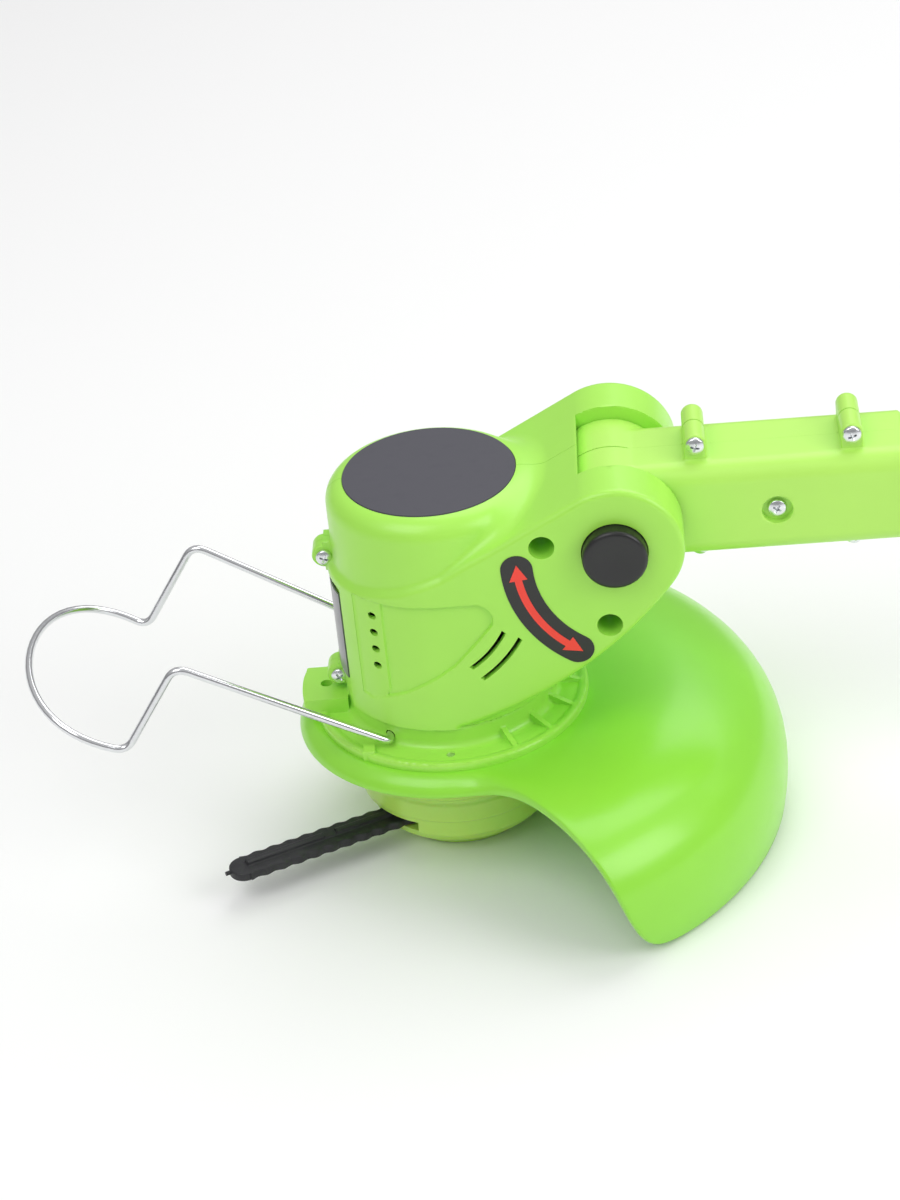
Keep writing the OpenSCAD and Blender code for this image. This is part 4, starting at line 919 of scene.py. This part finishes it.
aluminium = metal("drawn_aluminium", (0.80, 0.81, 0.83), 0.26, 0.16, 500)
tube_black = moulded("tube_powder_coat", (0.050, 0.050, 0.054), 0.42, grain=0.0004, bump=0.12, rubbing=0.15)
nylon_black = moulded("nylon_black", (0.034, 0.034, 0.036), 0.45, grain=0.0005, bump=0.08, rubbing=0.12)
SLEEVE_X = 308


def dress_node(name, material, slot_name):
    """Gives a carried-over CAD node its finish."""
    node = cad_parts[name]
    node.data.materials.clear()
    node.data.materials.append(material)
    node["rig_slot"] = slot_name


dress_node("inner_tube", aluminium, "aluminium")
outer_profile = [(11.4, 0.4), (11.8, 0), (12.2, 0), (12.6, 0.4),
                 (12.6, 359.6), (12.2, 360), (11.8, 360), (11.4, 359.6)]
dress(turned_x("outer_tube_skin", outer_profile, 330), tube_black, "pole", "tube_paint", "outer_tube")
dress_node("tube_collet", nylon_black, "black_plastic")
sleeve_profile = ([(11.3, 0.4), (11.7, 0), (15.3, 0)] + arc((15.2, 2.4), 2.4, 280, 350, 6)
                  + [(17.3, 4.5), (17.8, 10), (17.8, 34), (16.6, 40)] + arc((14.7, 43.5), 0.5, 20, 90, 3)
                  + [(14.1, 43.8), (14.1, 5), (11.3, 5)])


def sleeve_field(x, y, z):
    around, angle = np.hypot(y, z - HINGE[1]), np.arctan2(z - HINGE[1], y)
    whole = outline(around, x - SLEEVE_X, sleeve_profile)
    turn = (angle + np.pi / 12) % (np.pi / 6) - np.pi / 12
    flute = np.hypot(around * np.cos(turn) - 18.7, around * np.sin(turn)) - 1.5
    flute = np.maximum(flute, np.abs(x - SLEEVE_X - 20) - 12)
    return edge(whole, -flute, 0.35)


sleeve = cast("lock_sleeve_skin", sleeve_field, (SLEEVE_X, -17.8, 99.2), (352, 17.8, 134.8), 0.6)
lighten(sleeve, 0.6)
dress(sleeve, nylon_black, "lock_sleeve", "black_plastic", "lock_sleeve")

# ---- front loop handle --------------------------------------------------------------------------
# A two-part black clamp on the pole and a lime ring handle with a soft outer cushion, held at its
# angle by a bolt and a fluted knob.
AUX_X, AUX_Z, LOOP_R, LOOP_ROD = 470, 143, 50, 9


def clamp_field(x, y, z):
    body = edge(np.hypot(y, z - HINGE[1]) - 17, np.abs(x - AUX_X) - 16, 1.4)
    flange = edge(edge(np.abs(x - AUX_X) - 16, np.abs(y) - 22, 3), np.abs(z - HINGE[1]) - 5, 1.2)
    whole = fillet(body, flange, 2)
    ear = np.hypot(x - AUX_X, z - AUX_Z) - 9
    ear = np.minimum(ear, np.maximum(np.abs(x - AUX_X) - 9, np.maximum(125 - z, z - AUX_Z)))
    ear = edge(ear, np.abs(np.abs(y) - 12) - 3, 0.8)
    whole = np.minimum(whole, ear)
    whole = np.maximum(whole, 12.6 - np.hypot(y, z - HINGE[1]))
    whole = np.maximum(whole, 3.06 - np.hypot(x - AUX_X, z - AUX_Z))
    return np.maximum(whole, 1.6 - np.hypot(x - AUX_X, np.abs(y) - 19.2))


for name, side in (("aux_clamp_top", 1), ("aux_clamp_bottom", -1)):
    part = cast(name + "_skin", lambda x, y, z: np.maximum(clamp_field(x, y, z), 0.1 - side * (z - HINGE[1])),
                (AUX_X - 16.1, -22, min(HINGE[1], HINGE[1] + side * 17)),
                (AUX_X + 16.1, 22, AUX_Z + 9.1 if side > 0 else HINGE[1]), 0.7)
    lighten(part, 0.6)
    dress(part, nylon_black, "pole", "black_plastic", name)
stand_up = Matrix.Rotation(math.radians(90), 4, "X")
clamp_shape = bmesh.new()
for side in (-1, 1):
    copy = short_screw.copy()
    copy.transform(Matrix.Translation(Vector((AUX_X, side * 19.2, HINGE[1] - 7)) * MM) @ stand_up)
    clamp_shape.from_mesh(copy)
clamp_pair = show("clamp_screw_pair", mesh_from("clamp_screw_pair", clamp_shape))
dress(clamp_pair, zinc, "pole", "zinc", "aux_clamp_bottom")


def ring_field(x, y, z):
    centre = AUX_Z + 20 + LOOP_R
    across = np.hypot(y, z - centre) - LOOP_R
    rod_round = np.hypot(across, x - AUX_X) - LOOP_ROD
    foot = np.hypot(x - AUX_X, z - AUX_Z) - 8.8
    foot = edge(foot, np.abs(y) - 8.7, 0.9)
    stem = edge(edge(np.abs(x - AUX_X) - 8, np.abs(y) - 8.7, 1.5), np.abs(z - AUX_Z - 7) - 7, 0.5)
    whole = fillet(fillet(rod_round, stem, 3), foot, 1.5)
    return np.maximum(whole, 3.06 - np.hypot(x - AUX_X, z - AUX_Z))


loop_grip = cast("loop_handle_skin", ring_field, (AUX_X - 9, -59, 134.2), (AUX_X + 9, 59, AUX_Z + 129), 0.9)
lighten(loop_grip, 0.6)
dress(loop_grip, arm_green, "aux_handle", "arm_green", "aux_handle")
dress_node("aux_bolt", zinc, "zinc")


def knob_field(x, y, z):
    run, rise = x - AUX_X, z - AUX_Z
    around, angle = np.hypot(run, rise), np.arctan2(rise, run)
    neck = np.maximum(around - 8, np.abs(y - 18) - 2.8)
    turn = (angle + np.pi / 8) % (np.pi / 4) - np.pi / 8
    grip = np.maximum(around - 13, 2.6 - np.hypot(around * np.cos(turn) - 14, around * np.sin(turn)))
    head = edge(edge(grip, y - 31, 1.8), 20 - y, 0.6)
    return np.maximum(np.minimum(neck, head), -np.maximum(around - 3.06, y - 26.4))


knob = cast("aux_knob_skin", knob_field, (AUX_X - 13, 15.2, AUX_Z - 13), (AUX_X + 13, 31, AUX_Z + 13), 0.55)
lighten(knob, 0.6)
dress(knob, nylon_black, "aux_knob", "black_plastic", "aux_knob")

# ---- main handle --------------------------------------------------------------------------------
# Two half shells of glossy lime ABS, screwed together over the pole's end, with a soft black pad
# moulded on top of the grip and the battery's dock at the rear.
HANDLE_X, DOCK_X, DOCK_END, DOCK_Z, HANDLE_HALF = 640, 812, 906, 50, 17
TUBE_END, GRIP_PIVOT = 690, (744, 128)
HANDLE_SCREWS = [(648, 103), (706, 106), (762, 56.5), (830, 78), (892, 88), (868, 134), (722, 132)]
handle_view = (arc((646, 105), 6, 180, 270, 4) + arc((700, 71), 28, 90, 40, 10)
               + arc((742, 78), 26, 215, 262, 10) + arc((820, 56), 6, 100, 90, 2)
               + [(826, 62), (826, DOCK_Z)] + arc((898, 58), 8, 270, 360, 6) + arc((880, 118), 26, 0, 80, 12)
               + arc((790, -30), 178, 70, 102, 24) + arc((700, 187), 50, -76, -92, 8)
               + arc((646, 129), 6, 90, 180, 4))
hand_view = (arc((752, 84), 10, 180, 265, 8) + arc((800, 86), 12, 275, 350, 8)
             + arc((802, 104), 12, 10, 90, 8) + arc((790, -40), 156, 90, 99, 8)
             + arc((752, 108), 10, 100, 180, 6))


def pad_space(x, y, z):
    radius = np.hypot(x - 790, z + 30)
    along = np.maximum(779 - x, x - 833)
    return np.maximum(np.maximum(radius - 180, 176.2 - radius), np.maximum(along, np.abs(y) - 12.5))


def handle_field(x, y, z):
    side, opening = outline(x, z, handle_view), outline(x, z, hand_view)
    grip = edge(edge(side, np.abs(y) - HANDLE_HALF, 3.6), -opening, 3)
    dock = edge(edge(np.abs(y) - 30, np.abs(x - 864) - 38, 3), z - 72, 2)
    dock = np.maximum(dock, DOCK_Z - z)
    whole = fillet(grip, np.maximum(dock, -opening), 3)
    hollow = np.maximum(np.maximum(side + WALL, np.abs(y) - HANDLE_HALF + WALL), WALL - opening)
    hollow = np.maximum(hollow, 5 - np.hypot(x - GRIP_PIVOT[0], z - GRIP_PIVOT[1]))
    for at in HANDLE_SCREWS:
        hollow = np.maximum(hollow, 4.6 - np.hypot(x - at[0], z - at[1]))
    for low, high in ((HANDLE_X, HANDLE_X + 4), (TUBE_END - 4, TUBE_END + 4)):
        hollow = np.maximum(hollow, -np.maximum(low - x, x - high))
    hollow = np.maximum(hollow, -np.maximum(DOCK_X - x, z - DOCK_Z - 14))
    whole = np.maximum(whole, -hollow)
    bore = np.hypot(y, z - HINGE[1])
    cuts = [np.maximum(bore - 12.6, x - TUBE_END), np.maximum(bore - 9, np.abs(x - 692) - 4),
            block(x, y, z, (742, -6.4, 100), (780.8, 6.4, 134)),
            rod_y(x, y, z, GRIP_PIVOT, 5.2, -6.4, 6.4), rod_y(x, y, z, GRIP_PIVOT, 2, -12, 12),
            block(x, y, z, (757, -5.2, 140), (775.4, 5.2, 152)),
            block(x, y, z, (DOCK_X + 20, -20.4, DOCK_Z - 9), (DOCK_X + 120, 20.4, DOCK_Z + 5)),
            block(x, y, z, (DOCK_X + 20, -24.4, DOCK_Z + 3.6), (DOCK_X + 120, 24.4, DOCK_Z + 9.2)),
            block(x, y, z, (DOCK_X + 20, -13, DOCK_Z + 8), (DOCK_X + 34, 13, DOCK_Z + 16)),
            block(x, y, z, (DOCK_END - 18, -8.4, DOCK_Z + 8), (DOCK_END + 42, 8.4, DOCK_Z + 13))]
    for cut in cuts:
        whole = edge(whole, -cut, 0.4)
    return np.maximum(whole, -0.02 - pad_space(x, y, z))


handle_cuts = [rod("well", (x, -60, z), (x, 3 - HANDLE_HALF, z), 3.1) for x, z in HANDLE_SCREWS]
handle_cuts += [rod("pilot", (x, 2 - HANDLE_HALF, z), (x, 12, z), 1.4, 24) for x, z in HANDLE_SCREWS]
for name, side in (("handle_near", -1), ("handle_far", 1)):
    half = cast(name + "_skin", lambda x, y, z: np.maximum(handle_field(x, y, z), SEAM - side * y),
                (HANDLE_X, min(0, side * 30), DOCK_Z), (DOCK_END, max(0, side * 30), 150), 1.0)
    if side < 0:
        drill(half, handle_cuts[:len(HANDLE_SCREWS)])
    lighten(half, 0.5)
    dress(half, head_green, "pole", "head_green", name)
handle_places = [(x, 1 - HANDLE_HALF, z) for x, z in HANDLE_SCREWS]
handle_turns = (5, 40, -25, 60, 15, -50, 33)
dress(screw_row("handle_screw_set", pan_screw, handle_places, handle_turns), zinc, "pole", "zinc",
      "handle_screws")


def pad_field(x, y, z):
    radius = np.hypot(x - 790, z + 30)
    crown = edge(edge(np.maximum(779 - x, x - 833), np.abs(y) - 12.5, 4), radius - 180.4, 1)
    groove = np.maximum(179.8 - radius, 0.55 - np.abs((x - 779) % 4 - 2))
    groove = np.maximum(groove, np.maximum(np.abs(y) - 9, np.abs(x - 806) - 23))
    return np.maximum(np.maximum(crown, 176.2 - radius), -groove)


pad = cast("grip_pad_skin", pad_field, (779, -12.5, 140), (833, 12.5, 151), 0.6)
lighten(pad, 0.6)
soft_rubber = moulded("soft_rubber", (0.028, 0.028, 0.030), 0.72, grain=0.0005, bump=0.25, rubbing=0.1)
dress(pad, soft_rubber, "pole", "soft_grip", "grip_pad")

# ---- trigger and lock-off button ----------------------------------------------------------------
# Orange nylon: the trigger turns on a pin under the grip, and the button on top frees it. The
# springs are wound from steel wire and give way as the button, trigger or latch is pressed.
safety_orange = moulded("safety_orange", (0.80, 0.16, 0.028), 0.38, bump=0.04, Coat_Weight=0.1)
trigger_view = ([(747, 124.6), (747, 116)] + arc((756, 105), 8, 190, 250, 6)
                + arc((766, 112), 11, 250, 330, 10) + [(778.6, 114), (778.6, 121.6), (764, 124.6)])


def trigger_field(x, y, z):
    lever = outline(x, z, trigger_view)
    finger = edge(lever, np.abs(y) - 6, 2.2)
    eye = edge(np.hypot(x - GRIP_PIVOT[0], z - GRIP_PIVOT[1]) - 4.6, np.abs(y) - 6, 0.6)
    neck = edge(outline(x, z, [(744, 123.6), (752, 123.6), (752, 130), (744, 132)]), np.abs(y) - 6, 0.6)
    whole = np.minimum(np.minimum(finger, eye), neck)
    return np.maximum(whole, 2.06 - np.hypot(x - GRIP_PIVOT[0], z - GRIP_PIVOT[1]))


lever = cast("trigger_skin", trigger_field, (739, -6, 96), (779, 6, 133), 0.5)
lighten(lever, 0.6)
dress(lever, safety_orange, "trigger", "orange_plastic", "trigger")


def lock_off_field(x, y, z):
    cap = edge(edge(np.abs(x - 766.2) - 8.8, np.abs(y) - 4.8, 2), z - 152.1, 1.2)
    for at in (761.5, 764.6, 767.8, 771):
        cap = np.maximum(cap, 0.5 - np.hypot(x - at, z - 152.2))
    cap = np.maximum(cap, 141 - z)
    flange = block(x, y, z, (755.6, -7, 139), (776.8, 7, 141.2))
    return np.minimum(cap, flange)


lock_off = cast("lock_off_skin", lock_off_field, (755.6, -7, 139), (776.8, 7, 152.2), 0.4)
lighten(lock_off, 0.6)
dress(lock_off, safety_orange, "lock_off", "orange_plastic", "lock_off_button")
spring_steel = metal("spring_steel", (0.50, 0.51, 0.53), 0.22, 0.15, 800)


def coil(name, foot, axis, size, turns, body, node):
    """Compression spring of size (radius, wire radius, height) from foot along axis."""
    radius, wire, height = size
    axis, foot = np.array(axis, float), np.array(foot, float)
    side = np.cross(axis, (0.6, 0.8, 0.31))
    side /= np.linalg.norm(side)
    other = np.cross(axis, side)
    spots = []
    for t in np.linspace(0, 1, turns * 20 + 1):
        rise = wire + (height - 2 * wire) * np.clip((t * turns - 0.8) / (turns - 1.6), 0, 1)
        turn = 2 * math.pi * turns * t
        spots.append(foot + axis * rise + (radius - wire) * (math.cos(turn) * side + math.sin(turn) * other))
    spring = dress(tube(name, spots, wire, 8), spring_steel, body, "steel", node)
    tuple(axis)
    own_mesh(spring)


coil("button_coil", (HINGE[0], 13.8, HINGE[1]), (0, -1, 0), (6.4, 0.45, 22.6), 6,
     "head", "button_spring")
coil("trigger_coil", (759, 0, 129.6), (0, 0, -1), (3, 0.35, 4.2), 4,
     "pole", "trigger_spring")
coil("lock_off_coil", (766.2, 0, 134.6), (0, 0, 1), (3.4, 0.3, 4.4), 4,
     "pole", "lock_off_spring")
coil("latch_coil", (892.1, 0, 45.5), (0, 0, 1), (2.6, 0.3, 7.1), 5,
     "battery", "latch_spring")

# ---- battery ------------------------------------------------------------------------------------
# A two-part case over ten cells: black ABS above with the rail that slides into the handle, lime
# below, with moulded side grooves, and an orange latch at the rear.
BATT_X, BATT_HALF, BATT_LEN, SPLIT, LATCH_X = 818, 36, 100, 24, 888.5


def battery_field(x, y, z):
    middle = BATT_X + BATT_LEN / 2
    case = edge(np.abs(x - middle) - BATT_LEN / 2, np.abs(y) - BATT_HALF, 6)
    case = edge(edge(case, z - 49.5, 2), -z, 2.5)
    ribs = np.maximum(np.abs(z - 12.5) - 7, np.abs((x - middle) % 6 - 3) - 0.9)
    ribs = np.maximum(np.maximum(ribs, np.abs(x - middle) - 33), BATT_HALF - 0.8 - np.abs(y))
    case = edge(case, -ribs, 0.4)
    rail = block(x, y, z, (832.5, -20, 48.5), (910.5, 20, 54.5))
    wings = block(x, y, z, (832.5, -24, 54), (910.5, 24, 58.8))
    whole = np.minimum(case, np.minimum(rail, wings))
    inside = edge(np.abs(x - middle) - BATT_LEN / 2 + 1.8, np.abs(y) - BATT_HALF + 1.8, 4)
    inside = np.maximum(inside, np.maximum(1.8 - z, z - 47.7))
    inside = np.maximum(inside, -block(x, y, z, (LATCH_X - 3, -10, 43.5), (LATCH_X + 12, 10, 51.5)))
    whole = np.maximum(whole, -inside)
    for cut in [block(x, y, z, (834, -13, 53), (848, 13, 61)),
                block(x, y, z, (LATCH_X - 1, -8.2, 45.5), (LATCH_X + 28, 8.2, 65.5))]:
        whole = np.maximum(whole, -cut)
    for at in (-9, 0, 9):
        whole = np.maximum(whole, -block(x, y, z, (836, at - 1, 44), (846, at + 1, 56)))
    return whole


pack_black = moulded("pack_black", (0.034, 0.034, 0.036), 0.48, grain=0.0005, bump=0.12, rubbing=0.12)
upper = cast("battery_top_skin", lambda x, y, z: np.maximum(battery_field(x, y, z), SPLIT + 0.1 - z),
             (BATT_X, -BATT_HALF, SPLIT), (BATT_X + BATT_LEN, BATT_HALF, 58.8), 0.9)
lighten(upper, 0.6)
dress(upper, pack_black, "battery", "black_plastic", "battery_top")
lower = cast("battery_bottom_skin", lambda x, y, z: np.maximum(battery_field(x, y, z), z - SPLIT + 0.1),
             (BATT_X, -BATT_HALF, 0), (BATT_X + BATT_LEN, BATT_HALF, SPLIT), 0.9)
lighten(lower, 0.6)
dress(lower, arm_green, "battery", "arm_green", "battery_bottom")


def latch_field(x, y, z):
    tooth = block(x, y, z, (LATCH_X, -7.6, 52.6), (LATCH_X + 7, 7.6, 61.4))
    press = block(x, y, z, (LATCH_X + 5, -7.6, 52.6), (LATCH_X + 26, 7.6, 56))
    whole = fillet(edge(tooth, (x - LATCH_X - 7) * 0.7 + (z - 61.4) * 0.7 + 1.2, 0.4), press, 0.8)
    for at in (904, 907.5, 911):
        whole = np.maximum(whole, 0.6 - np.hypot(x - at, z - 56.2))
    return whole


latch = cast("battery_latch_skin", latch_field, (LATCH_X, -7.6, 52.6), (LATCH_X + 26, 7.6, 61.4), 0.4)
lighten(latch, 0.6)
dress(latch, safety_orange, "battery_latch", "orange_plastic", "battery_latch")

# ---- inner parts --------------------------------------------------------------------------------
# What the casings hide: the brushed motor with its drawn steel can, ferrite magnets and copper
# wound rotor, sintered bushes, pins and nuts, the tilt lock's toothed ring, the switch, the brass
# contacts and the shrink-wrapped cells.
bush_bronze = metal("sintered_bronze", (0.55, 0.34, 0.13), 0.42, 0.2, 1500, 0.2)
ferrite = moulded("ferrite_grey", (0.045, 0.045, 0.050), 0.6, grain=0.0006, bump=0.3)
winding = metal("enamelled_copper", (0.52, 0.20, 0.07), 0.28, 0.2, 1200, 0.3)
contact_brass = metal("contact_brass", (0.72, 0.50, 0.20), 0.25, 0.15, 900)
cell_blue = moulded("cell_wrap_blue", (0.07, 0.22, 0.42), 0.32, bump=0.04, Coat_Weight=0.3)
inner_finish = {
    "motor_can": (tooth_steel, "steel"), "motor_magnets": (ferrite, "magnet"), "rotor": (winding, "copper"),
    "motor_end_cap": (nylon_black, "black_plastic"), "shaft_bushes": (bush_bronze, "bronze"),
    "motor_screws": (zinc, "zinc"), "motor_shaft": (tooth_steel, "steel"), "guard_screws": (zinc, "zinc"),
    "hub_nut": (zinc, "zinc"), "blade_pin": (tooth_steel, "steel"), "lock_ring": (tooth_steel, "steel"),
    "trigger_pin": (tooth_steel, "steel"), "power_switch": (nylon_black, "black_plastic"),
    "dock_contacts": (contact_brass, "contact"), "battery_terminals": (contact_brass, "contact"),
    "battery_cells": (cell_blue, "cell_wrap")}
for name, (finish, slot_name) in inner_finish.items():
    dress_node(name, finish, slot_name)

# ---- studio -------------------------------------------------------------------------------------
# A pale seamless floor and soft white light from all round, with two large soft boxes.
floor_mesh = bpy.data.meshes.new("studio_floor")
floor_mesh.from_pydata([(-4, -4, 0), (5, -4, 0), (5, 5, 0), (-4, 5, 0)], [], [(0, 1, 2, 3)])
floor = show("studio_floor", floor_mesh)
floor_paper = bpy.data.materials.new("studio_paper")
floor_paper.use_nodes = True
floor_paper.node_tree.nodes["Principled BSDF"].inputs["Base Color"].default_value = (0.93, 0.93, 0.93, 1)
floor_paper.node_tree.nodes["Principled BSDF"].inputs["Roughness"].default_value = 0.9
floor_mesh.materials.append(floor_paper)

world = bpy.data.worlds.new("studio")
world.use_nodes = True
sky, tie = world.node_tree.nodes, world.node_tree.links.new
heading, split = sky.new("ShaderNodeTexCoord"), sky.new("ShaderNodeSeparateXYZ")
ramp = sky.new("ShaderNodeValToRGB")
ramp.color_ramp.elements[0].position, ramp.color_ramp.elements[0].color = 0.0, (0.42, 0.42, 0.43, 1)
ramp.color_ramp.elements[1].position, ramp.color_ramp.elements[1].color = 0.75, (1, 1, 1, 1)
tie(heading.outputs["Generated"], split.inputs["Vector"])
tie(split.outputs["Z"], ramp.inputs["Fac"])
tie(ramp.outputs["Color"], sky["Background"].inputs["Color"])
sky["Background"].inputs["Strength"].default_value = 0.60
bpy.context.scene.world = world
for name, place, aim, size, power in (
        ("key_box", (-0.5, -0.7, 1.3), (0.05, 0, 0.08), 0.9, 6.6),
        ("back_box", (0.5, 0.7, 1.3), (0.12, 0, 0.05), 1.2, 9),
        ("side_box", (0.75, -0.35, 0.55), (0.1, 0, 0.03), 0.5, 2.6)):
    lamp = bpy.data.lights.new(name, "AREA")
    lamp.shape, lamp.size, lamp.energy = "SQUARE", size, power
    box = bpy.data.objects.new(name, lamp)
    box.location = place
    box.rotation_euler = (Vector(aim) - Vector(place)).to_track_quat("-Z", "Y").to_euler()
    bpy.context.scene.collection.objects.link(box)

bpy.context.scene.view_settings.view_transform = "Standard"
lens = bpy.data.cameras.new("camera")
lens.lens, lens.sensor_width = 101.5, 36
lens.clip_start, lens.clip_end = 0.05, 20
camera = bpy.data.objects.new("camera", lens)
turn = Matrix(((0.9957, 0.0697, 0.0606), (0.0142, 0.5332, -0.8459), (-0.0913, 0.8431, 0.5300)))
camera.matrix_world = Matrix.Translation((0.0696, -0.9376, 0.6689)) @ turn.to_4x4()
bpy.context.scene.collection.objects.link(camera)
bpy.context.scene.camera = camera
